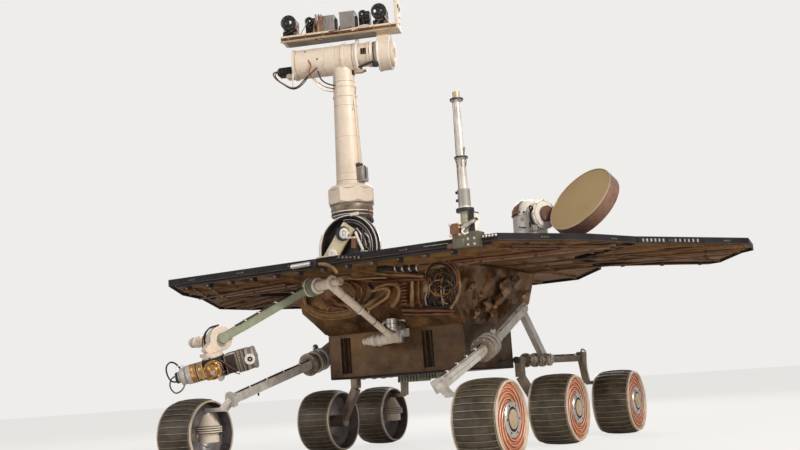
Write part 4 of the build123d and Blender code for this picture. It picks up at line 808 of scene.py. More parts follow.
# The same for three hoops of pipe over the nest of cables
CORNER_PIPES = (
    (((427, 268), (433, 261), (443, 258.5), (452, 262), (458, 270), (460, 281)), 0.0042, "rust", 0.030),
    (((425, 273), (430, 264), (440, 260.5), (450, 264.5), (456, 273), (458, 284)), 0.0042, "copper", 0.030),
    (((424, 278), (429, 268.5), (438, 264), (448, 267), (453.5, 276), (455, 288)), 0.0042, "dark", 0.030))
# Strands along the lower left bulge: pixel u, share of the shift in u, pixel v, share of the shift in v
STRAND = ((303.5, 0.5, 296, 0), (305, 0.3, 303, 0), (310, 0, 309.5, 1), (319, 0, 314, 1), (331, 0, 315.5, 1),
          (343, 0, 314.5, 1), (354, 0, 311.5, 1), (366, 0, 305.5, 0.8), (378, 0, 298, 0.6),
          (388, 0, 290, 0.5))
# Small cases and clips: pixels of two corners, depth, finish
FRONT_CASES = ((423.5, 283.5, 431, 292.5, 0.022, "straw"), (341.5, 263.5, 355, 275.5, 0.026, "dark"),
               (361.5, 262.5, 363, 270, 0.034, "white"), (361.5, 265.5, 366, 267, 0.034, "white"),
               (385, 318.5, 404, 324, 0.012, "silver"), (396.5, 325, 400.5, 343, 0.006, "silver"),
               (430, 296, 436, 302, 0.030, "dark"), (366, 270, 372, 274.5, 0.022, "straw"))
# Nest of cables: ranges in pixels of middle u, v and radii u, v
NEST = ((434, 449), (276, 296), (5, 13), (6, 15))
BLACK_CASE = ((377.5, 268), (393.5, 268.4))
BLACK_COIL = ((396, 268.3), (417.5, 267.8))
RING_STACK = (404.5, 284, 3.3)
PORT = (348, 268)


def profile_at(table, height):
    """Value between the rows of a (height, value) table."""
    for (low, first), (high, second) in zip(table, table[1:]):
        if height <= high:
            share = max(0.0, (height - low) / (high - low))
            return first + (second - first) * share
    return table[-1][1]


def on_wall(u, v, out=0.0, wall=FRONT_WALL, axis=Y, sign=-1):
    """Point on the body's wall, or out from it, that shows at a pixel."""
    value = wall[-1][1]
    for _ in range(12):
        point = seen(u, v, axis, value)
        value = profile_at(wall, point.z) + sign * out
    return point


def foil_grid(wall, axis, sign, columns):
    """Points just outside one wall, in rows by height."""
    grid = []
    for z in FOIL_HEIGHTS:
        value = (sign if axis == X else 1) * profile_at(wall, z) + sign * FOIL_OUT
        high = profile_at(SIDE_WALL, z) + FOIL_OUT
        low = -high
        if axis == X:
            low, high = profile_at(FRONT_WALL, z) - FOIL_OUT, profile_at(REAR_WALL, z) + FOIL_OUT
        spans = [low + (high - low) * column / columns for column in range(columns + 1)]
        grid.append([(value, along, z) if axis == X else (along, value, z) for along in spans])
    return grid


def make_foil():
    skin = Build()
    for wall, axis, sign, columns, size, depth, seed in FOILS:
        out = Vector((0, 0, 0))
        out[axis] = sign
        crumpled(skin, foil_grid(wall, axis, sign, columns), "foil", size, depth, seed, out)
    skin.piece("body_foil", "chassis", "gold_foil", 50)

    folds = Build()
    random.seed(4)
    shares = [(step / 8 - 0.5) * 2 for step in range(9)]
    for u, v, size in FOLDS:
        middle = on_wall(u, v, 0.012, SIDE_WALL, X, 1) if u > CORNER_U else on_wall(u, v, 0.012)
        grid = [[middle + Vector((0.016 * max(0.0, 1 - (a * a + b * b) * 0.5), a * size * 0.9,
                                  -b * size * 0.6 + a * size * 0.35)) for a in shares] for b in shares]
        crumpled(folds, grid, random.choice(("foil_light", "foil", "foil_light")), 0.022, 0.010, u * 0.1,
                 Vector((1, 0, 0)), False)
    folds.piece("foil_folds", "chassis", "gold_foil", 60)


def make_harness():
    """Pipes, cables and small cases in front of the body."""
    made = Build()

    def run(points, radius, finish, out, sides=8):
        tube(made, [on_wall(u, v, out) for u, v in points], radius, finish, sides)

    for row in FRONT_PIPES:
        run(*row)
    # Stack of rings, black case and black coil under the deck
    for step in range(7):
        middle = on_wall(RING_STACK[0], RING_STACK[1] + step * RING_STACK[2], 0.020)
        hoop(made, middle, 0.011, 0.0040, ("rust", "copper")[step % 2])
    bar(made, *[on_wall(u, v, 0.030) for u, v in BLACK_CASE], 0.018, 0.020, "dark")
    a, b = [on_wall(u, v, 0.030) for u, v in BLACK_COIL]
    for step in range(10):
        hoop(made, between(a, b, step / 9), 0.0105, 0.0037, "dark" if step % 3 else "silver", (Y, Z))
    for strand in range(7):
        shift = strand * 1.15 - 3.2
        run([(u + shift * shift_u, v + shift * shift_v) for u, shift_u, v, shift_v in STRAND], 0.0021,
            ("straw", "copper", "straw", "tan_pipe")[strand % 4], 0.016 + 0.002 * (strand % 3), 6)
    random.seed(11)
    for _ in range(26):
        centre_u, centre_v, radius_u, radius_v = [random.uniform(*limits) for limits in NEST]
        begin = random.uniform(0, math.tau)
        length = random.uniform(2.0, 5.4)
        turns = [begin + length * step / 6 for step in range(7)]
        path = [(min(CORNER_U - 1, centre_u + radius_u * math.cos(turn)),
                 centre_v + radius_v * math.sin(turn))
                for turn in turns]
        finish = random.choice(("dark", "edge", "copper", "rust", "dark", "rust", "straw"))
        run(path, random.uniform(0.0016, 0.0034), finish, random.uniform(0.014, 0.034), 6)
    for step in range(8):
        u = 426 + step * 4.2
        run([(u, 284 + 3 * math.sin(step * 2.1)), (u + 1.2, 291), (u - 0.8, 298), (u + 0.6, 305)], 0.0028,
            ("grey", "edge", "rust", "dark")[step % 4], 0.026, 6)
    for row in CORNER_PIPES:
        run(*row)
    for u0, v0, u1, v1, depth, finish in FRONT_CASES:
        low, high = on_wall(u0, v1, depth), on_wall(u1, v0, depth)
        block(made, (low.x, min(low.y, high.y), low.z), (high.x, max(low.y, high.y) + depth, high.z), finish)
    hoop(made, on_wall(*PORT, 0.030), 0.012, 0.0022, "silver", (X, Z), 12)
    made.piece("front_harness", "chassis", "bronze", 45)


make_foil()
make_harness()


# Deck: black edge strips, cells on top, rails and braces under it
DECK_TOP = 0.700
EDGE_MIDDLE = 0.6882
DECK_FRONT = -0.6475
DECK_HALF = ((0.668, -0.646), (0.862, -0.350), (0.950, -0.122), (0.632, 0.138), (0.632, 0.437))
WING = ((0.953, -0.119), (1.112, 0.142), (1.228, 0.332), (1.200, 0.555), (1.145, 0.610), (1.000, 0.885),
        (0.945, 0.910), (0.635, 0.450), (0.635, 0.144))
TAIL_HALF = ((0.600, 0.440), (0.580, 0.585), (0.435, 0.804), (0.357, 0.925), (0.200, 0.934))
CELL_X, CELL_Y, CELL_REACH = 0.074, 0.044, 18
# Places without cells round mast, pedestal and pole: x, y, half width, half depth
KEPT_FREE = ((0.027, -0.450, 0.10, 0.11), (0.463, 0.140, 0.09, 0.09), (0.570, -0.640, 0.06, 0.05))
# Braces under the panels, on the left and mirrored: start, end, radius, finish
BRACES = (((0.66, -0.52, 0.6735), (0.92, -0.10, 0.6735), 0.0045, "seam"),
          ((0.60, -0.50, 0.6735), (0.86, -0.08, 0.6735), 0.0035, "rust"),
          ((0.36, -0.34, 0.669), (0.90, -0.20, 0.6735), 0.0060, "rust"),
          ((0.36, -0.26, 0.669), (0.86, -0.14, 0.6735), 0.0050, "tan_pipe"),
          ((0.36, -0.20, 0.669), (0.82, -0.09, 0.6735), 0.0055, "seam"),
          ((0.39, 0.02, 0.671), (1.05, 0.20, 0.6740), 0.0040, "seam"),
          ((0.40, 0.18, 0.671), (1.15, 0.42, 0.6740), 0.0035, "seam"),
          ((0.38, 0.34, 0.671), (1.10, 0.60, 0.6740), 0.0035, "rust"),
          ((0.66, 0.46, 0.6735), (0.97, 0.86, 0.6740), 0.0030, "seam"),
          ((0.78, 0.10, 0.6735), (1.02, 0.78, 0.6740), 0.0035, "seam"))
# Things on the front edge: pixels of two corners, depth, finish
EDGE_CASES = ((424, 243.5, 448, 246.5, 0.003, "silver"), (448, 243, 454, 249, 0.007, "rust"),
              (318, 254.5, 339, 258.5, 0.012, "cream"), (336, 255, 361, 259.5, 0.008, "dark"),
              (296, 262, 311, 266, 0.004, "silver"), (470, 240.5, 481, 244, 0.005, "silver"))
EDGE_BOLTS = (338.5, 4.0, 257.3)
EDGE_KNOB = (315, 263.5)
EDGE_PIPE = ((319, 264, -0.006), (326, 264.5, -0.010), (333, 268, -0.012), (337, 273, -0.010))
TABS = (0.08, 0.14, 0.20, 0.26, 0.32, 0.38, 0.56, 0.63, 0.70, 0.76, 0.83, 0.90)


def both_halves(half):
    return list(half) + [(-x, y) for x, y in reversed(half)]


# Panels: name, outline, turn of the cells
PANELS = (("deck", both_halves(DECK_HALF), 0), ("wing_left", list(WING), 30),
          ("wing_right", [(-x, y) for x, y in reversed(WING)], -30), ("tail", both_halves(TAIL_HALF), 0))


def inside(outline, x, y):
    within = False
    for (x0, y0), (x1, y1) in zip(outline, outline[1:] + outline[:1]):
        if (y0 > y) != (y1 > y) and x < (x1 - x0) * (y - y0) / (y1 - y0) + x0:
            within = not within
    return within


def panel_edge(outline):
    """Rounded black strip around a panel with a thin lighter line, and short bright clips."""
    made = Build()
    centre = Vector((sum(x for x, _ in outline), sum(y for _, y in outline), 0)) / len(outline)
    for (x0, y0), (x1, y1) in zip(outline, outline[1:] + outline[:1]):
        start, end = Vector((x0, y0, EDGE_MIDDLE)), Vector((x1, y1, EDGE_MIDDLE))
        run = (end - start).normalized()
        out = Vector((run.y, -run.x, 0))
        if out.dot(start + end - centre * 2) < 0:
            out = -out
        bar(made, start, end, 0.0250, 0.0030, "edge", (0, 0, 1), 0.001)
        seam = out * 0.0014 + Vector((0, 0, -0.0095))
        bar(made, start + seam, end + seam, 0.0016, 0.0012, "seam", (0, 0, 1), 0.0003)
        count = int((end - start).length / 0.21)
        for index in range(count):
            middle = start + (end - start) * ((index + 0.5) / count) + out * 0.0012
            bar(made, middle - run * 0.017, middle + run * 0.017, 0.0085, 0.0035, "dark", (0, 0, 1), 0.0008)
            for peg in (-0.011, 0.0, 0.011):
                bolt(made, middle + run * peg + out * 0.0016, out, 0.0016, "grey")
    made.add([(x, y, DECK_TOP + 0.0003) for x, y in outline], [list(range(len(outline)))], "edge")
    return made


def corners_of(rotation, x, y, low, high):
    """Turned rectangle from one pair of edges to the other, about a place."""
    return [rotation @ Vector((x + a, y + b, 0)) for a, b in
            ((low[0], low[1]), (high[0], low[1]), (high[0], high[1]), (low[0], high[1]))]


def solar_cells(outline, turn):
    """Rows of thin dark cells with pale bus lines, inside a panel's outline."""
    made = Build()
    rotation = Matrix.Rotation(math.radians(turn), 4, "Z")
    for i in range(-CELL_REACH, CELL_REACH):
        for j in range(-2 * CELL_REACH, 2 * CELL_REACH):
            x, y = i * CELL_X, j * CELL_Y
            corners = corners_of(rotation, x, y, (0, 0), (CELL_X - 0.004, CELL_Y - 0.003))
            margin = corners_of(rotation, x, y, (-0.008, -0.008), (CELL_X, CELL_Y + 0.003))
            if not all(inside(outline, p.x, p.y) for p in margin):
                continue
            if any(abs(p.x - free_x) < wide and abs(p.y - free_y) < deep
                   for p in margin for free_x, free_y, wide, deep in KEPT_FREE):
                continue
            points = [(p.x, p.y, z) for z in (DECK_TOP - 0.0004, DECK_TOP + 0.0009) for p in corners]
            made.add(points, [[4, 5, 6, 7], [0, 1, 5, 4], [1, 2, 6, 5], [2, 3, 7, 6], [3, 0, 4, 7]], "cell")
            side = (corners[1] - corners[0]).normalized() * 0.0007
            for share in (0.33, 0.67):
                a, b = between(corners[0], corners[1], share), between(corners[3], corners[2], share)
                line = [(p.x, p.y, DECK_TOP + 0.0012) for p in (a - side, a + side, b + side, b - side)]
                made.add(line, [[0, 1, 2, 3]], "silver")
    return made


def make_deck():
    for name, outline, turn in PANELS:
        panel_edge(outline).piece(f"edge_{name}", "chassis", "solar_panel")
        solar_cells(outline, turn).piece(f"cells_{name}", "chassis", "solar_panel")

    rails = Build()
    for start, end, radius, finish in BRACES:
        for sign in (1, -1):
            tube(rails, [(sign * point[0], point[1], point[2]) for point in (start, end)], radius, finish)
            for share in (0.12, 0.5, 0.88):
                clip = between(start, end, share)
                clip.x *= sign
                block(rails, clip - Vector((0.008, 0.005, 0.006)), clip + Vector((0.008, 0.005, 0.008)),
                      "seam")
    # Front edge beam with its brackets, golden band between body and deck
    block(rails, (-0.640, -0.640, 0.668), (0.640, -0.622, 0.676), "dark")
    for step in range(13):
        x = -0.60 + step * 0.10
        block(rails, (x - 0.007, -0.628, 0.655), (x + 0.007, -0.600, 0.676), ("seam", "dark")[step % 2])
        bolt(rails, (x, -0.6285, 0.664), FORWARD, 0.003, "bronze")
    block(rails, (-0.30, -0.322, 0.655), (0.335, -0.304, 0.676), "tan_pipe", None, 0.004)
    rails.piece("deck_rails", "chassis", "bronze")

    trim = Build()
    for u0, v0, u1, v1, depth, finish in EDGE_CASES:
        low, high = seen(u0, v1, Y, DECK_FRONT), seen(u1, v0, Y, DECK_FRONT)
        block(trim, (low.x, DECK_FRONT - depth, max(low.z, 0.668)),
              (high.x, DECK_FRONT + 0.004, min(high.z, 0.722)), finish)
    for step in range(6):
        bolt(trim, seen(EDGE_BOLTS[0] + step * EDGE_BOLTS[1], EDGE_BOLTS[2], Y, DECK_FRONT - 0.008), FORWARD,
             0.003, "bronze")
    knob = seen(*EDGE_KNOB, Y, DECK_FRONT)
    ringed(trim, (knob.x, DECK_FRONT + 0.004, knob.z), (knob.x, DECK_FRONT - 0.020, knob.z),
           ((0, 0.013), (0.7, 0.013), (0.8, 0.010), (0.82, 0.005), (0.6, 0.004)), "dark", 24)
    tube(trim, [(knob.x - 0.09, DECK_FRONT - 0.010, knob.z - 0.002),
                (knob.x - 0.012, DECK_FRONT - 0.010, knob.z)],
         0.008, "silver", 12)
    tube(trim, traced(EDGE_PIPE, DECK_FRONT), 0.006, "tan_pipe")
    # Pale tabs in two groups on the near wing's edge
    start, end = [Vector((x, y, 0.688)) for x, y in ((0.950, -0.119), WING[1])]
    run = (end - start).normalized()
    for share in TABS:
        middle = between(start, end, share) + Vector((run.y, -run.x, 0)) * 0.003
        bar(trim, middle - run * 0.0038, middle + run * 0.0038, 0.011, 0.002, "silver", (0, 0, 1), 0.0005)
    trim.piece("deck_trim", "chassis", "dark_metal")


make_deck()


# Mast. The drum stands in front of the bracket; the head lies along its own frame's X.
DRUM_X, DRUM_Y = MAST[0] + 0.016, MAST[1] - 0.066
DRUM = Vector((DRUM_X, DRUM_Y, 0.740))
# Rings round the drum: radius, first and last angle, depth, steps, thickness, finish, sides
DRUM_RINGS = ((0.1170, -19, 158, -0.002, 40, 0.0022, "white", 8),
              (0.1135, -19, 158, -0.003, 40, 0.0014, "edge", 8),
              (0.1095, -16, 150, -0.004, 40, 0.0020, "edge", 6),
              (0.1165, 150, 196, -0.004, 14, 0.0045, "cream", 8),
              (0.1165, -19, 158, 0.024, 40, 0.0026, "silver", 6))
# Forked bracket right of the lever: path of pixel u, v and depth, radius, finish
FORK = ((((346, 238, -0.018), (352, 238, -0.020), (356, 243, -0.018)), 0.0042, "white"),
        (((355.5, 232, -0.016), (358.5, 240, -0.018), (363, 250, -0.016)), 0.0050, "white"),
        (((361, 251, -0.016), (368, 251.5, -0.014)), 0.0045, "silver"))
DRUM_MOTOR = (354, 243)
BAND_PLATE = (354, 214)
BAND_KNOB = (370.5, 220)
BAND_WIRE = ((368, 206, -0.060), (369, 213, -0.058), (367, 219, -0.050))
TUBE_LOW, TUBE_HIGH = (0.9713, 0.050), (1.372, 0.040)
# Seams of the tube: height, rise, finish
TUBE_SEAMS = ((0.9850, 0.0008, "white"), (0.9885, 0.0005, "edge"), (1.0150, 0.0006, "tan"),
              (1.1500, 0.0005, "tan"), (1.2620, 0.0007, "white"), (1.2650, 0.0004, "bronze"),
              (1.3405, 0.0006, "bronze"), (1.3560, 0.0006, "bronze"))
BARREL_Z, BARREL_RADIUS = 1.446, 0.053
NARROW_Z, NARROW_RADIUS = 1.454, 0.043
# Rings of the barrel and of its narrow end: place along the head, width, radius, finish
BARREL_RINGS = ((-0.181, 0.006, 0.0578, "white"), (-0.170, 0.003, 0.0540, "tan"),
                (-0.066, 0.0032, 0.0542, "white"),
                (-0.0622, 0.0014, 0.0536, "tan"), (-0.018, 0.0016, 0.0536, "tan"),
                (-0.008, 0.0016, 0.0536, "tan"),
                (0.0565, 0.0070, 0.0580, "white"), (0.0440, 0.0020, 0.0546, "bronze"))
NARROW_RINGS = ((0.108, 0.0060, 0.0480, "white"), (0.120, 0.0020, 0.0438, "edge"),
                (0.126, 0.0050, 0.0445, "cream"))
# Screws and ports on the barrel: pixel u, pixel v, radius, finish
BARREL_HOLES = ((305, 52, 0.0035, "edge"), (317, 59, 0.0032, "edge"), (296, 53, 0.0022, "tan"),
                (310, 62, 0.0022, "tan"), (322, 66, 0.0022, "tan"), (331, 45, 0.0020, "tan"),
                (345, 43, 0.0020, "tan"), (340, 60, 0.0018, "tan"), (300, 70, 0.0020, "tan"))
GRILLE = ((360.6, 54.3), (369, 47.2))
# Cables below the head: path of pixel u, v and depth, radius, finish
HEAD_CABLES = (
    (((277, 72, 0.000), (273.5, 74, -0.004), (276, 79, -0.016), (284, 84.5, -0.030), (291.5, 88, -0.040),
      (298, 86.5, -0.046), (304, 80.5, -0.050), (310, 74, -0.053), (317, 68, -0.055)), 0.0032, "rust"),
    (((279, 70, 0.000), (275.5, 76, -0.008), (281, 82.5, -0.024), (290, 88.5, -0.038), (297, 88.5, -0.046),
      (304, 83, -0.050), (308, 77, -0.052)), 0.0018, "edge"),
    (((308, 60, -0.052), (311, 66, -0.054), (309, 72, -0.053), (312, 77, -0.052), (318, 82, -0.046),
      (326, 87, -0.034), (335, 89, -0.026)), 0.0024, "copper"),
    (((318, 71, -0.053), (321, 79, -0.050), (327, 83.5, -0.042), (336, 86, -0.030)), 0.0030, "dark"),
    (((312, 76, -0.052), (317, 84, -0.046), (324, 90, -0.036), (335, 92, -0.026)), 0.0018, "tan"))
CABLE_TIE = ((312, 78.5, -0.052), (319, 83, -0.046))
# Boxes on the head and along the camera bar: low corner, high corner, finish, chamfer
HEAD_BOXES = (((0.026, -0.020, 1.380), (0.042, 0.004, 1.408), "dark", 0.002),
              ((0.044, -0.022, 1.384), (0.078, -0.004, 1.396), "tan", 0.002),
              ((-0.2480, -0.016, 1.408), (-0.180, 0.024, 1.442), "dark", 0.008))
BAR_BOXES = (((-0.216, -0.0465, 1.5290), (0.214, -0.0435, 1.5400), "copper", 0.0006),
             ((-0.2180, -0.0490, 1.5395), (0.2190, -0.0430, 1.5440), "cream", 0.0008),
             ((-0.2180, -0.0490, 1.5230), (0.2190, -0.0430, 1.5290), "tan", 0.0008),
             # The bronze sheet under the camera bar is partly its underside's own brown and partly painted
             # shade.
             ((-0.205, -0.040, 1.5275), (0.130, 0.032, 1.5300), "bronze", 0.002),
             ((0.2085, -0.0340, 1.5440), (0.2200, -0.0300, 1.6640), "cream", 0.002))
BAR_PIPES = ((((-0.210, -0.049, 1.5335), (-0.10, -0.0495, 1.5350), (0.02, -0.0492, 1.5330),
               (0.12, -0.0495, 1.5350)),
              0.0018, "rust"),
             (((-0.21, -0.0485, 1.5370), (-0.06, -0.049, 1.5360), (0.08, -0.0488, 1.5375)), 0.0013, "rust"))
# Conduits behind the cameras: pixel path, distance before the mast, radius, finish, sides
CONDUITS = ((((352, 30), (358, 27.5), (364, 25.5), (370, 26)), 0.052, 0.0042, "cream", 8),
            (((327, 32), (340, 29.5), (352, 27)), 0.056, 0.0022, "copper", 6))
BAR_WIRES_U = 314.5
# Lenses: place along the bar, radius, front face, shift of the painted highlight
LENSES = ((-0.188, 0.027, -0.038, 0.0085), (0.152, 0.027, -0.038, -0.0140), (-0.112, 0.015, -0.026, 0.0030),
          (0.090, 0.015, -0.026, -0.0020))


def on_barrel(u, v, radius, centre_z):
    """Point on a barrel that lies along the head frame's X, in that frame."""
    value = -radius
    for _ in range(12):
        point = seen(u, v, Y, value, HEAD)
        rise = max(-0.97 * radius, min(0.97 * radius, point.z - centre_z))
        value = -math.sqrt(radius * radius - rise * rise)
    return point


def on_head(point):
    return HEAD @ Vector(point)


def arc_points(radius, low, high, y, steps=14):
    """Arc about the drum's middle, between two angles."""
    turns = [math.radians(low + (high - low) * k / steps) for k in range(steps + 1)]
    return [DRUM + Vector((radius * math.cos(turn), y, radius * math.sin(turn))) for turn in turns]


def make_drum(made):
    """Rings, coiled cables, lever and motor of the round housing."""
    for radius, low, high, y, steps, thick, finish, sides in DRUM_RINGS:
        tube(made, arc_points(radius, low, high, y, steps), thick, finish, sides, 2)
    random.seed(21)
    for loop in range(12):
        arc = arc_points(0.052 + 0.0045 * loop, -14 + random.uniform(-3, 8), random.uniform(58, 100),
                         -0.001 - random.uniform(0, 0.004))
        tube(made, arc, random.uniform(0.0014, 0.0026), random.choice(("dark", "edge", "grey", "dark",
                                                                       "hollow")),
             6, 2)
    for loop in range(6):
        a = DRUM + Vector((random.uniform(0.02, 0.09), -0.004, random.uniform(-0.03, 0.05)))
        b = a + Vector((random.uniform(-0.03, 0.03), -0.006, random.uniform(0.02, 0.05)))
        tube(made, [a, between(a, b, 0.5) + Vector((0.01, -0.004, 0)), b], 0.0022,
             ("silver", "dark", "copper")[loop % 3], 6)
    # Lever: pale cheek plates with a raised border and two round bosses
    low = Vector((DRUM_X - 0.076, DRUM_Y - 0.015, 0.700))
    high = Vector((DRUM_X + 0.018, DRUM_Y - 0.015, 0.815))
    slant = (1, 0, -0.7)
    bar(made, low, high, 0.054, 0.004, "straw_paint", slant, 0.0015, 0.002)
    along = (high - low).normalized()
    across = Vector((along.z, 0, -along.x))
    for sign, finish in ((-1, "cream"), (1, "straw")):
        shift = across * sign * 0.0255 + Vector((0, -0.003, 0))
        bar(made, low + shift, high + shift, 0.004, 0.005, finish, slant, 0.001)
    for share, radius in ((0.80, 0.019), (0.22, 0.017)):
        place = between(low, high, share) + Vector((0, -0.002, 0))
        ringed(made, place + Vector((0, 0.006, 0)), place - Vector((0, 0.010, 0)),
               ((0, radius), (0.75, radius), (0.85, radius * 0.86), (0.85, radius * 0.5),
                (0.65, radius * 0.42)),
               "white", 28)
        hole(made, place + Vector((0, -0.0045, 0)), FORWARD, 0.0055, "tan")
    for path, radius, finish in FORK:
        tube(made, traced(path, DRUM_Y), radius, finish)
    motor = seen(*DRUM_MOTOR, Y, DRUM_Y - 0.022)
    rod(made, motor + Vector((-0.002, 0, -0.020)), motor + Vector((0.002, 0, 0.016)), 0.0105, "rust", 16)
    rod(made, motor + Vector((0, 0, 0.014)), motor + Vector((0, 0, 0.022)), 0.0125, "tan", 16)
    # Foot plates and dark lattice
    block(made, (MAST[0] - 0.115, DRUM_Y - 0.028, 0.700), (MAST[0] - 0.005, DRUM_Y + 0.010, 0.7095), "cream")
    block(made, (MAST[0] - 0.145, DRUM_Y - 0.010, 0.700), (MAST[0] - 0.095, DRUM_Y + 0.030, 0.718), "cream")
    block(made, (MAST[0], DRUM_Y - 0.034, 0.700), (MAST[0] + 0.082, DRUM_Y - 0.006, 0.7145), "dark")
    for step in range(8):
        x = MAST[0] + 0.006 + step * 0.0098
        block(made, (x, DRUM_Y - 0.0365, 0.7005), (x + 0.0045, DRUM_Y - 0.030, 0.7135),
              ("grey", "dark")[step % 2])


def make_mast_base():
    made = Build()
    make_drum(made)
    # Bolts on the bracket's cheeks, band under the collar with plate, knob and wire
    for sign in (-1, 1):
        for y, z in ((-0.02, 0.73), (0.03, 0.73), (0.02, 0.80), (0.0, 0.835)):
            bolt(made, (MAST[0] + sign * 0.048, MAST[1] + y, z), (sign, 0, 0), 0.0035, "silver")
    for profile, finish in ((((0.0735, 0.863), (0.0752, 0.865), (0.0752, 0.871), (0.0745, 0.873)), "dark"),
                            (((0.0738, 0.876), (0.0748, 0.878), (0.0748, 0.897), (0.0738, 0.901)), "bronze"),
                            # The near-black ring at the top of the band, tucked under the collar, is painted
                            # shadow of the collar.
                            (((0.078, 0.9005), (0.0795, 0.9018), (0.078, 0.9032)), "edge")):
        turned(made, MAST_AXIS, profile, finish, 48)
    plate = seen(*BAND_PLATE, Y, MAST[1] - 0.077)
    block(made, plate - Vector((0.018, 0.002, 0.006)), plate + Vector((0.018, 0.006, 0.006)), "cream")
    radial_screws(made, MAST_AXIS, 12, 0.0750, 0.887, 0.0024, "bronze")
    knob = seen(*BAND_KNOB, Y, MAST[1] - 0.020)
    rod(made, knob - Vector((0.012, 0, 0.004)), knob + Vector((0.008, 0, 0)), 0.011, "dark")
    tube(made, traced(BAND_WIRE, MAST[1]), 0.003, "copper")
    made.piece("mast_base_trim", "chassis", "cream_paint")

    collar = Build()
    for index in range(8):
        out = circle(8, 1.0, 0.0, index + (4 + 22.5) / 45)[0]
        side = Vector((-out.y, out.x, 0))
        top = Vector((*MAST, 0.9575)) + out * 0.0776
        edge = Vector((*MAST, 0)) + circle(8, 0.0832, 0.0, index + 4 / 45)[0]
        wires(collar, (((top - side * 0.022, top + out * 0.0008 - Vector((0, 0, 0.003)), top + side * 0.022),
                        0.0015, "bronze"),
                       ((edge + Vector((0, 0, 0.918)), edge + Vector((0, 0, 0.953))), 0.0014, "white")))
    collar.piece("collar_trim", "chassis", "cream_paint")


def tube_wall(z):
    (low, wide), (high, narrow) = TUBE_LOW, TUBE_HIGH
    return wide + (narrow - wide) * (z - low) / (high - low)


def on_tube(turn, z, out):
    """Point outside the mast's tube, by angle and height."""
    turn = math.radians(turn)
    return Vector((MAST[0] + (tube_wall(z) + out) * math.cos(turn),
                   MAST[1] + (tube_wall(z) + out) * math.sin(turn), z))


def make_mast_tube():
    made = Build()
    for z, over, finish in TUBE_SEAMS:
        r = tube_wall(z)
        turned(made, MAST_AXIS, [(r - 0.0008, z - 0.0012), (r + over, z - 0.0004), (r + over, z + 0.0004),
                                 (r - 0.0008, z + 0.0012)], finish, 48)
    radial_screws(made, MAST_AXIS, 16, 0.0540, 0.9755, 0.0018, "tan")
    # Grey ribbed connector at the foot with its dark cap, cable up the tube and slanting rod
    turn = placed(*MAST, 0, -8)
    block(made, (0.044, -0.0175, 0.980), (0.0715, 0.0175, 1.0345), "grey", turn)
    for step in range(6):
        x = 0.048 + 0.0040 * step
        block(made, (x, -0.0190, 0.984), (x + 0.0018, 0.0190, 1.031), "bronze", turn, 0.0005)
    block(made, (0.042, -0.0185, 1.0330), (0.060, 0.0060, 1.0480), "dark", turn)
    tube(made, [turn @ Vector(p) for p in ((0.064, 0, 1.030), (0.071, 0, 1.036), (0.074, 0, 1.020),
                                           (0.0735, 0, 0.990))],
         0.0022, "dark", 6)
    tube(made, [on_tube(-12, z, 0) + Vector((0.002, 0, 0)) for z in (1.04, 1.10, 1.17, 1.24, 1.30)],
         0.0018, "tan", 6)
    tube(made, [on_tube(turn, z, 0.0014) for turn, z in
                ((14, 1.338), (4, 1.315), (-7, 1.290), (-17, 1.265), (-24, 1.245))], 0.0018, "bronze", 6)
    made.piece("mast_tube_trim", "mast", "cream_paint")


def make_head():
    made = Build()
    barrel = HEAD @ placed(0, 0, BARREL_Z, 90, "Y")
    narrow = HEAD @ placed(0, 0, NARROW_Z, 90, "Y")
    for base, table in ((barrel, BARREL_RINGS), (narrow, NARROW_RINGS)):
        for x, width, radius, finish in table:
            rings(made, base, ((x, x + width, radius, finish),), 0.006, width * 0.15, 56)
    turned(made, barrel, [(0.0500, 0.0080), (0.0536, 0.0090), (0.0536, 0.0560), (0.0540, 0.0600),
                          (0.0420, 0.0640)],
           "cream", 56)
    for u, v, size, finish in BARREL_HOLES:
        place = on_barrel(u, v, BARREL_RADIUS, BARREL_Z)
        hole(made, HEAD @ place, HEAD.to_3x3() @ Vector((0, place.y, place.z - BARREL_Z)), size, finish)
    low, high = [on_barrel(u, v, NARROW_RADIUS, NARROW_Z) for u, v in GRILLE]
    wide, tall = (high.x - low.x) / 4, (high.z - low.z) / 4
    for i in range(4):
        for j in range(4):
            x, z = low.x + wide * i, low.z + tall * j
            rise = z + (tall - 0.0008) / 2 - NARROW_Z
            y = -math.sqrt(max(1e-6, NARROW_RADIUS ** 2 - rise * rise))
            block(made, (x, y - 0.0022, z), (x + wide - 0.0008, y + 0.003, z + tall - 0.0008), "edge",
                  HEAD, 0.0004)
    # Ring's knob on top, boxes below the right part, dark tie and latch, dark shroud at the left end
    for low, high, finish, cut in HEAD_BOXES:
        block(made, low, high, finish, HEAD, cut)
    for start, end, radius, finish, sides in (
            ((0.0600, -0.010, 1.498), (0.0600, -0.010, 1.5110), 0.0075, "cream", 16),
            ((0.078, -0.013, 1.390), (0.088, -0.013, 1.391), 0.005, "straw", 12),
            ((0.120, -0.040, 1.402), (0.137, -0.046, 1.398), 0.010, "dark", 16)):
        rod(made, on_head(start), on_head(end), radius, finish, sides)
    bar(made, on_head((0.058, -0.030, 1.400)), on_head((0.118, -0.030, 1.416)), 0.007, 0.006, "dark")
    bar(made, on_head((-0.1805, -0.038, 1.4300)), on_head((-0.1860, -0.028, 1.3480)), 0.007, 0.004, "white")
    for step in range(4):
        x = -0.236 + step * 0.012
        block(made, (x, -0.0175, 1.411), (x + 0.005, -0.012, 1.439), "edge", HEAD, 0.0008)
    for path, radius, finish in HEAD_CABLES:
        tube(made, traced(path, 0, HEAD), radius, finish, 6)
    bar(made, *traced(CABLE_TIE, 0, HEAD), 0.006, 0.006, "cream")
    made.piece("head_trim", "mast", "cream_paint")


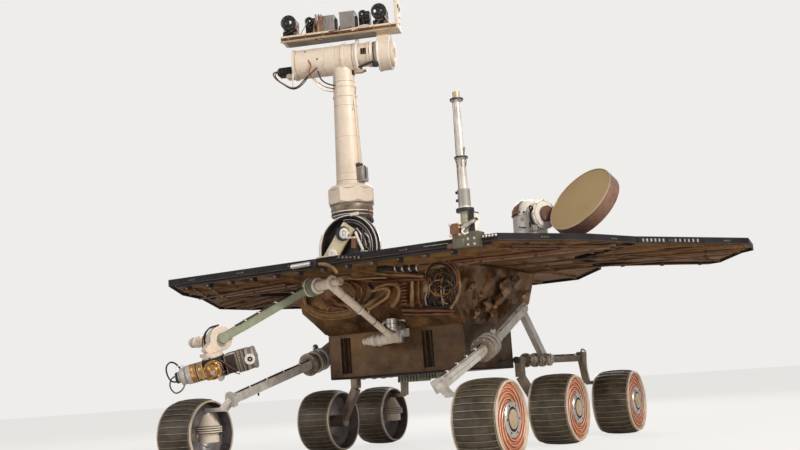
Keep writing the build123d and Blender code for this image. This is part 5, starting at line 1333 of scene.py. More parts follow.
def make_camera_bar():
    made = Build()
    sideways = HEAD.to_3x3() @ Vector((1, 0, 0))
    forward = HEAD.to_3x3() @ FORWARD
    for low, high, finish, cut in BAR_BOXES:
        block(made, low, high, finish, HEAD, cut)
    for x in (-0.190, -0.125, -0.060, 0.005, 0.070, 0.130, 0.190):
        block(made, (x, -0.0500, 1.5250), (x + 0.004, -0.0430, 1.5430), "straw", HEAD, 0.0006)
    wires(made, BAR_PIPES, 6, on_head)
    # End plate's openings and bolts; pear bracket: top hole, bored disc with rim and screws
    for z in (1.556, 1.580, 1.604, 1.628, 1.652):
        bolt(made, on_head((0.2195, 0.004, z)), sideways, 0.0035, "tan")
        hole(made, on_head((0.2140, -0.0342, z + 0.010)), forward, 0.0022)
    for y in (-0.018, 0.014):
        hole(made, on_head((0.2198, y, 1.615)), sideways, 0.0070)
    hole(made, on_head((0.160, -0.0180, 1.520)), HEAD.to_3x3() @ Vector((0.1, -1, 0)), 0.0040)
    face = HEAD @ placed(0, 0, BARREL_Z, 90, "Y")
    for profile, finish, sides in (
            (((0.0185, 0.1800), (0.0215, 0.1935), (0.0250, 0.1945), (0.0430, 0.1930), (0.0465, 0.1900),
              (0.0470, 0.1850)), "cream", 48),
            (((0.0590, 0.1360), (0.0600, 0.1380), (0.0600, 0.1420), (0.0586, 0.1440)), "white", 56),
            (((0.0586, 0.1790), (0.0592, 0.1800), (0.0592, 0.1826), (0.0560, 0.1836)), "white", 56),
            (((0.0, 0.1700), (0.0170, 0.1705), (0.0186, 0.1802)), "edge", 32)):
        turned(made, face, profile, finish, sides)
    screws(made, HEAD @ placed(0, 0, BARREL_Z) @ ALONG_X, 8, 0.033, 0.1935, 0.0025, "tan")
    for path, before, radius, finish, sides in CONDUITS:
        tube(made, traced(path, MAST[1] - before), radius, finish, sides)
    # Wires beside the left grey box, and behind the cameras
    random.seed(8)
    for index in range(9):
        u = BAR_WIRES_U + index
        path = [(u + 0.5, 14 + random.uniform(0, 3)), (u - 1 + random.uniform(0, 2), 20),
                (u + random.uniform(-1, 1.5), 27), (u - 0.5, 33), (u + random.uniform(-1.5, 1), 40)]
        tube(made, traced(path, -0.040 - 0.001 * (index % 4), HEAD), 0.0016,
             ("copper", "rust", "copper", "edge", "straw")[index % 5], 6)
    for index in range(12):
        x = random.uniform(-0.20, -0.12) if index % 2 else random.uniform(0.07, 0.19)
        z = random.uniform(1.552, 1.592)
        path = [(x, -0.018, z), (x + random.uniform(-0.02, 0.02), -0.030, z + random.uniform(-0.012, 0.012)),
                (x + random.uniform(-0.035, 0.035), -0.024, 1.548)]
        tube(made, [on_head(point) for point in path], random.uniform(0.0012, 0.0024),
             random.choice(("dark", "dark", "copper", "grey", "silver")), 6)
    made.piece("camera_bar_trim", "camera_bar", "cream_paint")


def make_cameras():
    made = Build()
    for x, radius, front, highlight_shift in LENSES:
        base = HEAD @ placed(x, front, 1.600, 90, "X")
        inner = radius * (0.50 if radius > 0.02 else 0.56)
        # A white oval over each lens is a painted highlight, standing in for a reflection on the glass.
        painted_highlight = base @ placed(highlight_shift, 0, -0.0015) @ Matrix.Diagonal((0.75, 1.0, 1.0, 1.0))
        for matrix, size, profile, finish, sides in (
                (base, radius, ((0.97, -0.012), (1.06, -0.010), (1.06, 0.001), (0.98, 0.0035), (0.90, 0.0020),
                                (0.62, -0.006)), "dark", 48),
                (base, radius, ((1, -0.0102), (1.05, -0.009), (1, -0.0078)), "grey", 40),
                (base, radius, ((1, -0.0162), (1.05, -0.015), (1, -0.0138)), "grey", 40),
                (base, radius, ((1, -0.0222), (1.05, -0.021), (1, -0.0198)), "grey", 40),
                (base, inner, ((1.25, -0.006), (1.25, 0.0002), (1.05, 0.0022), (0.82, 0.0010)), "edge", 40),
                (base, inner, ((0.86, 0.0006), (0.70, 0.0022), (0.40, 0.0034), (0, 0.0040)), "glass", 32),
                (painted_highlight, inner, ((0.46, -0.0020), (0.44, 0.0042), (0.30, 0.0058), (0, 0.0062)), "white", 20)):
            turned(made, matrix, [(size * share, height) for share, height in profile], finish, sides)
        screws(made, base, 8, radius * 0.94, 0.0022, 0.0016, "grey")
        # Housing behind: flange, feet, side box and a coil
        blocks(made, (((x - radius * 0.85, -0.010, 1.5440), (x + radius * 0.85, 0.004, 1.5560), "grey"),
                      ((x - radius, front + 0.014, 1.5450), (x - radius * 0.55, front + 0.026, 1.5720),
                       "dark"),
                      ((x + radius * 0.5, front + 0.012, 1.5445), (x + radius * 1.15, front + 0.028, 1.5680),
                       "bronze")), HEAD)
        for step in range(5):
            hoop(made, (x + radius * 0.55 + step * 0.0032, -0.018, 1.577), 0.006, 0.0013, "dark", (Y, Z),
                 8, 5, HEAD)
    # Ribs on the grey boxes' fronts, lids and lugs on top
    for x0, x1, top in ((-0.078, -0.018, 1.612), (0.002, 0.058, 1.618)):
        for step in range(11):
            x = x0 + 0.003 + (x1 - x0 - 0.006) * step / 10
            block(made, (x - 0.0010, -0.0262, 1.548), (x + 0.0010, -0.0235, top - 0.004), "grey", HEAD,
                  0.0004)
        block(made, (x0 - 0.0015, -0.0262, top - 0.003), (x1 + 0.0015, 0.0275, top + 0.0015), "grey", HEAD)
        for x in (x0 + 0.012, x1 - 0.016):
            bolt(made, on_head((x, -0.012, top + 0.001)), (0, 0, 1), 0.004, "tan")
            block(made, (x - 0.004, -0.004, top), (x + 0.005, 0.008, top + 0.008), "bronze", HEAD)
        blocks(made, (((x1, -0.020, 1.556), (x1 + 0.010, -0.004, 1.600), "dark"),
                      ((x0 - 0.006, -0.018, 1.548), (x0, 0.004, 1.570), "dark")), HEAD)
    made.piece("camera_trim", "camera_bar", "dark_metal")


make_mast_base()
make_mast_tube()
make_head()
make_camera_bar()
make_cameras()


# Antennas. The pole's trim is drawn about the pole, the dish's mount about the gimbal's axis.
POLE = placed(0.570, -0.655, 0)
# Bands of the pole and of the pedestal: from, to, radius, finish
POLE_RINGS = ((0.7120, 0.7780, 0.0160, "green"), (0.7780, 0.7905, 0.0287, "dark"),
              (0.7905, 0.8520, 0.0199, "grey"),
              (0.9498, 0.9575, 0.0217, "dark"), (1.1398, 1.1475, 0.0217, "dark"),
              (1.1480, 1.1700, 0.0118, "tan"))
PEDESTAL_RINGS = ((0.7100, 0.7130, 0.0700, "silver"), (0.7130, 0.7190, 0.0620, "dark"),
                  (0.7560, 0.7610, 0.0590, "white"))
HOUSING_RINGS = ((0.7791, 0.7819, 0.0665, "silver"), (0.7831, 0.7859, 0.0662, "dark"),
                 (0.8646, 0.8674, 0.0652, "grey"))
# Boxes of the pole's bracket: low corner, high corner, finish
POLE_BOXES = (((-0.024, -0.014, 0.812), (-0.012, -0.002, 0.821), "dark"),
              ((-0.024, -0.014, 0.838), (-0.012, -0.002, 0.847), "dark"),
              ((-0.050, -0.029, 0.703), (-0.041, -0.010, 0.711), "cream"),
              ((-0.050, -0.029, 0.738), (-0.041, -0.010, 0.746), "cream"),
              ((-0.018, -0.029, 0.703), (-0.009, -0.010, 0.711), "cream"),
              ((-0.018, -0.029, 0.738), (-0.009, -0.010, 0.746), "cream"),
              ((-0.042, -0.0245, 0.664), (-0.002, -0.016, 0.700), "olive"),
              ((0.0205, -0.0155, 0.712), (0.0345, -0.012, 0.776), "dark"),
              ((0.0345, -0.0140, 0.706), (0.0395, 0.020, 0.770), "white"))
POLE_CABLE = ((-0.0150, -0.004, 0.856), (-0.0138, -0.006, 0.94), (-0.0125, -0.006, 1.03),
              (-0.0115, -0.006, 1.138))
POLE_HOOK = ((0.006, -0.028, 0.724), (-0.002, -0.030, 0.715), (0.006, -0.030, 0.706), (0.018, -0.028, 0.709))
FITTING = ((0, 0.006), (0.25, 0.006), (0.25, 0.0085), (0.55, 0.0085), (0.55, 0.0065), (0.85, 0.0065),
           (0.9, 0.0045), (1, 0.0045))
DOME_RADIUS = 0.0655
TILT_Z = 0.860
# Marks on the housing: pixel u, pixel v, radius, finish; then the pixels of pin, patch and cable
DOME_HOLES = ((528.5, 201.5, 0.0045, "edge"), (524, 212, 0.0040, "edge"), (519.5, 212, 0.0030, "dark"))
DOME_PIN = ((526, 211.5, 0.004), (514.5, 214.5, 0.010))
DOME_PATCH = ((521.5, 220.5, 0.0012), (527.5, 217.5, 0.0012))
DOME_CABLE = ((519, 227, 0.003), (525, 227.5, 0.003), (531, 226, 0.003))
# Rings of the tilt motor: place along its axis, width, radius, finish
MOTOR_RINGS = ((0.0530, 0.0100, 0.0575, "cream"), (0.0635, 0.0050, 0.0500, "edge"),
               (0.0690, 0.0040, 0.0505, "white"),
               (0.0790, 0.0100, 0.0572, "white"), (0.0895, 0.0035, 0.0520, "cream"))
MOTOR_WIRES = (
    (((0.070, -0.051, 0.868), (0.074, -0.060, 0.886), (0.084, -0.062, 0.890), (0.090, -0.058, 0.880),
      (0.080, -0.055, 0.872), (0.072, -0.056, 0.862), (0.072, -0.056, 0.840), (0.078, -0.052, 0.820)),
      0.0030, "edge"),
    (((0.060, -0.052, 0.830), (0.070, -0.058, 0.815), (0.084, -0.050, 0.806)), 0.0040, "dark"))
# Dish, in the frame of its face: profile, finish, sides
DISH_SKIN = (
    (((0.1350, -0.0553), (0.1398, -0.0532), (0.1412, -0.0495), (0.1412, -0.0050), (0.1407, -0.0024)),
     "dish_side", 96),
    (((0.1407, -0.0024), (0.1412, -0.0004), (0.1398, 0.0008), (0.1372, 0.0004), (0.1364, -0.0015)), "tan",
     96),
    (((0.0, -0.0008), (0.070, -0.0008), (0.1366, -0.0010)), "dish", 96),
    (((0.1300, -0.0560), (0.1280, -0.0572), (0.0420, -0.0572), (0.0400, -0.0560)), "dish_side", 64))


def on_pole(point):
    return POLE @ Vector(point)


def make_low_gain():
    made = Build()
    rings(made, POLE, POLE_RINGS, 0.004, 0.0008)
    rings(made, POLE, [(z, z + 0.0055, 0.0170, "straw") for z in (0.735, 0.752)], 0.0015, 0.0015, 28)
    # Stay fins under the middle band, cable up the pole, bracket with its silver fitting
    for out in circle(6):
        bar(made, on_pole((0, 0, 0.922)) + out * 0.0135, on_pole((0, 0, 0.950)) + out * 0.0200, 0.003, 0.003,
            "bronze", out)
    screws(made, POLE, 6, 0.0170, 0.9575, 0.0018)
    tube(made, [on_pole(point) for point in POLE_CABLE], 0.0014, "bronze", 6)
    bar(made, on_pole((0.012, -0.004, 0.957)), on_pole((0.018, -0.006, 0.985)), 0.004, 0.005, "bronze")
    block(made, (-0.048, -0.026, 0.706), (-0.012, -0.008, 0.742), "rust", POLE, 0.004)
    blocks(made, POLE_BOXES, POLE)
    blocks(made, [((0.047 + step * 0.011, 0.003, 0.690), (0.0545 + step * 0.011, 0.0095, 0.699), "silver")
                  for step in range(5)], POLE)
    ringed(made, on_pole((-0.006, -0.024, 0.726)), on_pole((0.044, -0.020, 0.748)), FITTING, "silver", 18)
    rod(made, on_pole((0.043, -0.020, 0.7475)), on_pole((0.049, -0.0195, 0.7505)), 0.0055, "copper", 14)
    tube(made, [on_pole(point) for point in POLE_HOOK], 0.0030, "white")
    for z in (0.690, 0.672):
        for x in (0.012, 0.034):
            bolt(made, on_pole((x, -0.0222, z)), FORWARD, 0.003, "silver")
    made.piece("low_gain_trim", "chassis", "bronze")


def on_gimbal(point):
    return GIMBAL @ Vector(point)


def on_dome(u, v, out=0.0):
    """Point on the gimbal's round wall, or out from it, that shows at a pixel."""
    value = -DOME_RADIUS
    for _ in range(14):
        point = seen(u, v, Y, value, GIMBAL)
        off = max(-0.96 * DOME_RADIUS, min(0.96 * DOME_RADIUS, point.x))
        value = -math.sqrt(DOME_RADIUS * DOME_RADIUS - off * off) - out
    return GIMBAL @ point


def make_high_gain():
    fixed = Build()
    rings(fixed, GIMBAL, PEDESTAL_RINGS, 0.006, 0.0006, 48)
    screws(fixed, GIMBAL, 10, 0.071, 0.7100, 0.0038)
    fixed.piece("pedestal_trim", "chassis", "white_paint")

    made = Build()
    rings(made, GIMBAL, HOUSING_RINGS, 0.002, 0.0008, 48)
    # Brown cap over the upper left shoulder, marks, pin and bare patch on the wall toward the camera
    cap = GIMBAL @ placed(0, 0, 0, 188)
    turned(made, cap, [(0.0672, 0.8700), (0.0660, 0.8890), (0.0570, 0.9060), (0.0385, 0.9240),
                       (0.0220, 0.9312)],
           "copper", 20, math.radians(95))
    turned(made, cap, [(0.0682, 0.8680), (0.0690, 0.8695), (0.0682, 0.8715)], "edge", 20, math.radians(95))
    for u, v, size, finish in DOME_HOLES:
        place = on_dome(u, v)
        hole(made, place, place - on_gimbal((0, 0, place.z)), size, finish)
    a, b = [on_dome(*row) for row in DOME_PIN]
    tube(made, [a, between(a, b, 0.5), b], 0.0022, "dark")
    a, b = [on_dome(*row) for row in DOME_PATCH]
    block(made, (min(a.x, b.x), min(a.y, b.y) - 0.001, a.z), (max(a.x, b.x), max(a.y, b.y), b.z), "tan",
          None, 0.0005)
    tube(made, [on_dome(*row) for row in DOME_CABLE], 0.0022, "dark", 6)
    # Tilt motor: rings, bolts, wire loops and a box
    motor = GIMBAL @ placed(0, 0, TILT_Z, 90, "Y")
    for x, width, radius, finish in MOTOR_RINGS:
        rings(made, motor, ((x, x + width, radius, finish),), 0.008, width * 0.12, 48)
    screws(made, GIMBAL @ placed(0, 0, TILT_Z) @ ALONG_X, 8, 0.0540, 0.0895, 0.0026)
    wires(made, MOTOR_WIRES, 8, on_gimbal)
    block(made, (0.058, -0.060, 0.795), (0.086, -0.036, 0.818), "grey", GIMBAL)
    made.piece("gimbal_trim", "antenna_gimbal", "white_paint")

    dish = Build()
    face = GIMBAL @ placed(0.278, 0.007, TILT_Z + 0.024, 54.3, "X")
    for profile, finish, sides in DISH_SKIN:
        turned(dish, face, profile, finish, sides)
    back = face.to_3x3() @ Vector((0, 0, 1))
    for near, far in zip(circle(6, 0.044, -0.0585), circle(6, 0.126, -0.0575)):
        bar(dish, face @ near, face @ far, 0.010, 0.006, "dish_side", back)
    screws(dish, face, 6, 0.034, -0.0670, 0.003, out=(0, 0, -1))
    dish.piece("dish_skin", "antenna_dish", "dish_gold")


make_low_gain()
make_high_gain()


# Suspension trim, drawn on the left side and mirrored
APEX = Vector((0.371, 0.196, 0.521))
CLAMP = Vector((0.371, -0.153, 0.371))
FRONT_BEND = Vector((0.417, -0.621, 0.248))
LEG_FOOT = Vector((0.371, 0.404, 0.320))
PIVOT_X, PIVOT_Z = LEG_FOOT.x, LEG_FOOT.z
OUTER = 0.386
# Holes in the broad beam: pixel u, pixel v, radius; then pixels of its boss and of two bolts in front
BEAM_HOLES = ((501, 331, 0.0065), (500, 343, 0.0055), (504, 339, 0.0045), (516, 312, 0.0055),
              (488, 343, 0.0040),
              (509, 322, 0.0040))
BEAM_BOSS = (492.5, 331.4)
BEND_BOLTS = ((453, 375.6), (452.8, 380.5))
# Clamp, along the lower beam: from, to, radius, finish
CLAMP_FLANGES = ((-0.0445, -0.0397, 0.0446, "silver"), (-0.0335, -0.0287, 0.0350, "edge"),
                 (-0.0060, -0.0012, 0.0446, "silver"), (0.0065, 0.0113, 0.0350, "edge"),
                 (0.0325, 0.0373, 0.0446, "silver"))
CLAMP_BANDS = ((-0.0335, -0.0070, 0.0353, "dark"), (-0.0020, 0.0300, 0.0353, "bronze"),
               (0.0100, 0.0140, 0.0372, "dark"), (-0.0240, -0.0200, 0.0372, "silver"),
               (-0.0400, -0.0362, 0.0447, "bronze"), (0.0370, 0.0432, 0.0447, "bronze"),
               (-0.0018, 0.0030, 0.0447, "bronze"))
# Cables of the bogie: points, radius, finish, sides
BOGIE_CABLES = (
    (((0.375, 0.106, 0.320), (0.341, 0.100, 0.323), (0.311, 0.112, 0.322), (0.287, 0.150, 0.330)), 0.0026,
     "dark", 6),
    (((0.436, 0.650, 0.348), (0.446, 0.640, 0.356), (0.456, 0.648, 0.346), (0.452, 0.657, 0.316),
      (0.450, 0.660, 0.280), (0.452, 0.662, 0.236)), 0.0036, "tan", 8),
    (((0.371, 0.420, 0.336), (0.385, 0.500, 0.337), (0.405, 0.580, 0.337), (0.424, 0.640, 0.338)), 0.0024,
     "dark", 6))


def beam_trim(made, start, end, height, depth, inset, rivets, finish):
    """Edge flanges and a line of rivets on a beam's outer face."""
    matrix, length = frame_along(start, end)
    half, face = height / 2, -depth / 2
    for edge in (-1, 1):
        sides = sorted((edge * half, edge * (half - 0.0045)))
        block(made, (sides[0], face - 0.0022, inset), (sides[1], face, length - inset), finish, matrix,
              0.0006)
        line = edge * (half - 0.0066)
        block(made, (line - 0.0013, face - 0.0008, inset), (line + 0.0013, face, length - inset), "dark",
              matrix,
              0.0003)
    for index in range(rivets):
        along = inset + (length - 2 * inset) * (index + 0.5) / rivets
        bolt(made, matrix @ Vector((half - 0.0023, face - 0.0020, along)), matrix.to_3x3() @ FORWARD,
             0.0017, "tan")


def rocker_trim():
    made = Build()
    beam_trim(made, APEX, CLAMP, 0.046, 0.030, 0.012, 22, "white")
    beam_trim(made, APEX, LEG_FOOT, 0.032, 0.020, 0.040, 10, "white")
    beam_trim(made, CLAMP, FRONT_BEND, 0.032, 0.028, 0.055, 24, "white")
    for u, v, radius in BEAM_HOLES:
        hole(made, seen(u, v, X, OUTER + 0.0002), (1, 0, 0), radius)
    boss = seen(*BEAM_BOSS, X, OUTER)
    ringed(made, boss - Vector((0.002, 0, 0)), boss + Vector((0.010, 0, 0)),
           ((0, 0.015), (0.6, 0.015), (0.75, 0.011), (1, 0.009)), "silver", 24)
    # Pivot at the apex: stepped cap with bolts
    ringed(made, APEX + Vector((0.014, 0, 0)), APEX + Vector((0.026, 0, 0)),
           ((0, 0.0210), (0.35, 0.0210), (0.45, 0.0160), (0.9, 0.0150), (1, 0.0120)), "beam", 32)
    screws(made, placed(*APEX) @ ALONG_X, 6, 0.0180, 0.018, 0.0020)
    # Clamp: flanges, bands, end discs with bolts, dark bores toward the front
    matrix, _ = frame_along(CLAMP, FRONT_BEND)
    rings(made, matrix, CLAMP_FLANGES, 0.004, 0.0008, 40)
    rings(made, matrix, CLAMP_BANDS, 0.002, 0.001, 40)
    for shift, height, sign in ((0.0441, 0.0443, 1), (-0.0447, -0.0449, -1)):
        turned(made, matrix, [(0.0200, shift - 0.0003), (0.0210, shift + 0.0003), (0.0435, shift + 0.0003),
                              (0.0444, shift - 0.0003)], "bronze", 40)
        screws(made, matrix, 10, 0.0390, height, 0.0026, out=(0, 0, sign))
    for turn in (0.6, 2.0, 3.5, 5.2):
        out = Vector((math.cos(turn), math.sin(turn), 0))
        hole(made, matrix @ (out * 0.0342 + Vector((0, 0, 0.020))), matrix.to_3x3() @ out, 0.0050)
    # Dark cable along the lower beam with pale clips, on to the front wheel's motor
    lower = FRONT_BEND - CLAMP
    path = [CLAMP + Vector((-0.010, 0.010, 0.036))]
    for share in (0.15, 0.35, 0.55, 0.75, 0.95):
        path.append(CLAMP + lower * share + Vector((-0.006, 0, 0.0185 + 0.0015 * math.sin(share * 25))))
    tube(made, path + [(0.440, -0.628, 0.232), (0.4520, -0.634, 0.226)], 0.0030, "dark")
    for share in (0.22, 0.42, 0.62, 0.82):
        lump(made, CLAMP + lower * share + Vector((-0.006, 0, 0.0190)), (0.006, 0.004, 0.004), "cream")
    # Bolts at the front bend, silver cap on both sides of the leg's foot
    for u, v in BEND_BOLTS:
        bolt(made, seen(u, v, X, 0.398), (1, -0.1, 0), 0.0042, "dark")
    for x in (-0.014, 0.014):
        for y in (-0.014, 0.014):
            bolt(made, FRONT_BEND + Vector((x, y, 0.0135)), (0.05, -0.25, 1), 0.0032, "silver")
    for sign in (-1, 1):
        out = Vector((sign, 0, 0))
        ringed(made, LEG_FOOT + out * 0.028, LEG_FOOT + out * 0.0335,
               ((0, 0.0155), (0.7, 0.0155), (1, 0.0120)),
               "silver", 28)
        hole(made, LEG_FOOT + out * 0.0330, out, 0.0050)
    return made


def bogie_trim():
    made = Build()
    x, z = PIVOT_X, PIVOT_Z
    # Fluted block: rings and grooves along the tube, flanges with bolts, boss rings round the pin
    along = placed(x, 0, z, -90, "X")
    for step in range(11):
        y = 0.212 + step * 0.0135
        rings(made, along, ((y, y + 0.0095, 0.0222, "bronze" if step % 3 else "tan"),), 0.0026, 0.002, 24)
    for y in (0.199, 0.289, 0.366):
        rings(made, along, ((y - 0.0006, y + 0.0086, 0.0276, "grey"),), 0.0014, 0.0016, 32)
        screws(made, along, 8, 0.0235, y - 0.001, 0.0020, out=(0, 0, -1))
    for sign in (-1, 1):
        turned(made, placed(*LEG_FOOT, 90 * sign, "Y"), [(0.0166, 0.0236), (0.0180, 0.0252), (0.0236, 0.0250),
                                                         (0.0252, 0.0234)], "silver", 32)
    # Dark knob on the front end, greenish strut plates, cables
    rod(made, (x, 0.122, z + 0.002), (x, 0.104, z + 0.002), 0.0130, "dark")
    beam_trim(made, (x, 0.139, 0.318), (x, 0.139, 0.262), 0.034, 0.028, 0.006, 3, "green")
    for rise in (-0.010, 0.010):
        for shift in (-0.010, 0.010):
            bolt(made, (x + 0.0142, 0.139 + shift, 0.292 + rise), (1, 0, 0), 0.0022, "silver")
    for points, radius, finish, sides in BOGIE_CABLES:
        tube(made, points, radius, finish, sides)
    # Rear beam: flanges, bracket block over the rear wheel, cable clips
    beam_trim(made, LEG_FOOT, (0.428, 0.662, z), 0.026, 0.020, 0.045, 9, "grey")
    block(made, (0.414, 0.646, 0.322), (0.444, 0.676, 0.346), "bronze", None, 0.003)
    for shift in (-0.009, 0.009):
        bolt(made, (0.429 + shift, 0.661, 0.346), (0, 0, 1), 0.0030, "silver")
    for y in (0.46, 0.54, 0.61):
        middle = x + 0.057 * (y - LEG_FOOT.y) / (0.662 - LEG_FOOT.y)
        block(made, (middle - 0.006, y - 0.004, 0.331), (middle + 0.006, y + 0.004, 0.3395), "silver")
    return made


for name, build in (("rocker_trim", rocker_trim()), ("bogie_trim", bogie_trim())):
    for side, sign in (("left", 1), ("right", -1)):
        mirrored = Build()
        mirrored.moved(Matrix.Diagonal((sign, 1, 1, 1)), build)
        mirrored.piece(f"{name}_{side}", "chassis", "silver_metal")


# Electronics box: foil skin with quilted seams, dark edges; boxes under it
BOX_FRONT, BOX_REAR, BOX_HALF = -0.160, 0.255, 0.290
FOIL_TOP, FOIL_BOTTOM = 0.459, 0.302
BOX_LOW = 0.2950
# Bare plates on the front: pixels of two corners, finish; then the pixels of their bolts
FRONT_PLATES = ((386, 319.5, 403.5, 324, "silver"), (396.3, 325, 400.5, 343.5, "tan"))
FRONT_BOLTS = ((388, 321.5), (402, 321.2), (398.3, 328), (398.3, 340))


def upright_patch(start, end, columns):
    """Grid over an upright face between two places seen from above."""
    corners = [(*place, z) for place, z in ((start, FOIL_TOP), (end, FOIL_TOP), (end, FOIL_BOTTOM),
                                            (start, FOIL_BOTTOM))]
    return patch(corners, 14, columns)


def make_box():
    made = Build()
    y = BOX_FRONT - 0.0022
    for x0, x1 in ((-0.290, -0.238), (-0.196, 0.120), (0.162, 0.290)):
        crumpled(made, upright_patch((x0 + 0.002, y), (x1 - 0.002, y), max(6, int((x1 - x0) / 0.012))), "box",
                 0.05, 0.0022, 3.0, FORWARD)
    for sign in (-1, 1):
        x = sign * 0.2925
        crumpled(made, upright_patch((x, BOX_FRONT + 0.004), (x, BOX_REAR - 0.004), 30), "box", 0.06,
                 0.0030, 6.0,
                 (sign, 0, 0))
    y = BOX_REAR + 0.0022
    crumpled(made, upright_patch((-0.284, y), (0.284, y), 40), "box", 0.06, 0.0030, 9.0, (0, 1, 0))
    # Channels' lips, dark bottom edge, corner strips
    for x in (-0.238, -0.2215, -0.2160, -0.1995, 0.1205, 0.1370, 0.1420, 0.1585):
        block(made, (x - 0.0010, BOX_FRONT - 0.0045, 0.316), (x + 0.0014, BOX_FRONT + 0.001, 0.452),
              "edge", None,
              0.0005)
    for x0, y0, x1, y1 in ((-BOX_HALF, BOX_FRONT - 0.003, BOX_HALF, BOX_FRONT + 0.001),
                           (-0.2935, BOX_FRONT, -BOX_HALF, BOX_REAR), (BOX_HALF, BOX_FRONT, 0.2935, BOX_REAR),
                           (-BOX_HALF, BOX_REAR - 0.001, BOX_HALF, BOX_REAR + 0.003)):
        block(made, (x0, y0, 0.2945), (x1, y1, 0.3015), "edge")
    for x in (-0.291, 0.291):
        for y in (BOX_FRONT, BOX_REAR):
            block(made, (x - 0.003, y - 0.003, BOX_LOW), (x + 0.003, y + 0.003, 0.4640), "seam", None, 0.001)
    for u0, v0, u1, v1, finish in FRONT_PLATES:
        a, b = seen(u0, v1, Y, BOX_FRONT - 0.004), seen(u1, v0, Y, BOX_FRONT - 0.004)
        block(made, (a.x, BOX_FRONT - 0.008, a.z), (b.x, BOX_FRONT - 0.001, min(b.z, 0.462)), finish)
    for u, v in FRONT_BOLTS:
        bolt(made, seen(u, v, Y, BOX_FRONT - 0.008), FORWARD, 0.0026, "grey")
    made.piece("box_skin", "chassis", "gold_foil", 50)

    below = Build()
    for x0, x1, y0, y1, drop in ((-0.060, 0.030, -0.050, 0.050, 0.026), (0.050, 0.100, -0.030, 0.040, 0.020)):
        block(below, (x0 - 0.0015, y0 - 0.0015, BOX_LOW - drop - 0.001),
              (x1 + 0.0015, y1 + 0.0015, BOX_LOW - drop * 0.55), "green")
        count = int((x1 - x0) / 0.012)
        for step in range(count):
            x = x0 + (x1 - x0) * (step + 0.5) / count
            block(below, (x - 0.0016, y0 - 0.0042, BOX_LOW - drop), (x + 0.0016, y0 - 0.0010, 0.2940), "dark")
    below.piece("belly_trim", "chassis", "grey_metal")


make_box()


# Arm. Joint centres as (distance out, height) in the arm's frame.
SHOULDER, ELBOW, WRIST = (0.0, 0.0), (0.270, 0.198), (0.633, 0.025)
ARM_AXIS_Y = -0.015
# Rings about the joints' axes: from, to, radius, finish
SHOULDER_RINGS = ((-0.034, -0.030, 0.0207, "tan"), (-0.0675, -0.0545, 0.0246, "silver"),
                  (-0.074, -0.070, 0.0206, "edge"), (-0.0955, -0.090, 0.0212, "white"),
                  (-0.102, -0.098, 0.0138, "edge"), (-0.1245, -0.1175, 0.0166, "cream"),
                  (-0.139, -0.136, 0.0138, "tan"))
UPPER_RINGS = ((0.0085, 0.0125, 0.0187, "tan"), (0.0265, 0.0325, 0.0190, "silver"))
ELBOW_RINGS = ((-0.0525, -0.0445, 0.0287, "white"), (-0.0430, -0.0410, 0.0210, "edge"),
               (-0.0655, -0.0600, 0.0212, "silver"), (-0.0150, -0.0120, 0.0207, "tan"),
               (0.0375, 0.0455, 0.0256, "white"), (0.0480, 0.0500, 0.0140, "edge"),
               (0.0620, 0.0655, 0.0138, "tan"),
               (0.0840, 0.0905, 0.0140, "silver"))
FOREARM_RINGS = ((-0.0710, -0.0675, 0.0322, "tan"), (-0.0800, -0.0780, 0.0336, "edge"),
                 (-0.0990, -0.0860, 0.0337, "white"))
WRIST_RINGS = ((-0.1140, -0.1085, 0.0420, "white"), (-0.1180, -0.1160, 0.0416, "edge"),
               (-0.1350, -0.1220, 0.0417, "cream"), (-0.1440, -0.1400, 0.0290, "edge"),
               (-0.1600, -0.1480, 0.0288, "bronze"), (-0.1720, -0.1680, 0.0208, "tan"),
               (-0.1900, -0.1860, 0.0208, "edge"), (-0.2080, -0.2040, 0.0208, "tan"),
               (-0.2330, -0.2270, 0.0206, "silver"), (-0.2520, -0.2490, 0.0178, "tan"),
               (-0.2800, -0.2740, 0.0206, "white"), (-0.3000, -0.2970, 0.0178, "edge"),
               (-0.3160, -0.3060, 0.0184, "cream"))
# Bands of the upper link: share of its length, radius, finish
LINK_BANDS = ((0.14, 0.0128, "tan"), (0.30, 0.0126, "bronze"), (0.512, 0.0160, "white"),
              (0.535, 0.0156, "tan"),
              (0.80, 0.0156, "tan"), (0.88, 0.0162, "cream"))
# Cables of the wrist, in the arm's frame as side, out, up
WRIST_CABLES = (
    (((-0.112, 0.640, 0.070), (-0.130, 0.668, 0.060), (-0.150, 0.676, 0.030), (-0.160, 0.668, 0.000)),
     0.0028, "dark", 8),
    (((-0.118, 0.642, 0.068), (-0.134, 0.672, 0.056), (-0.152, 0.682, 0.024), (-0.150, 0.684, -0.010)),
     0.0020,
     "copper", 6))


def arm_at(side, out, up):
    return ARM @ Vector((side, ARM_AXIS_Y - out, up))


def on_joint(made, centre, table):
    """Rings about a joint's axis."""
    out, up = centre
    rings(made, ARM @ placed(0, ARM_AXIS_Y - out, up, 90, "Y"), table, 0.003, 0.001, 32, 0.25)


def end_disc(made, centre, place, sign, radius, finish, bolts, bolt_ring):
    """Dished end plate of an actuator with a ring of bolts."""
    out, up = centre
    frame = ARM @ placed(0, ARM_AXIS_Y - out, up, 90 * sign, "Y")
    face = sign * place
    turned(made, frame, [(radius * share, face + rise) for share, rise in
                         ((1, -0.001), (1, 0.0010), (0.9, 0.0022), (0.5, 0.0018), (0.42, 0.0004),
                          (0, 0.0004))],
           finish, 28)
    screws(made, frame, bolts, bolt_ring, face + 0.0018, 0.0018, "tan")


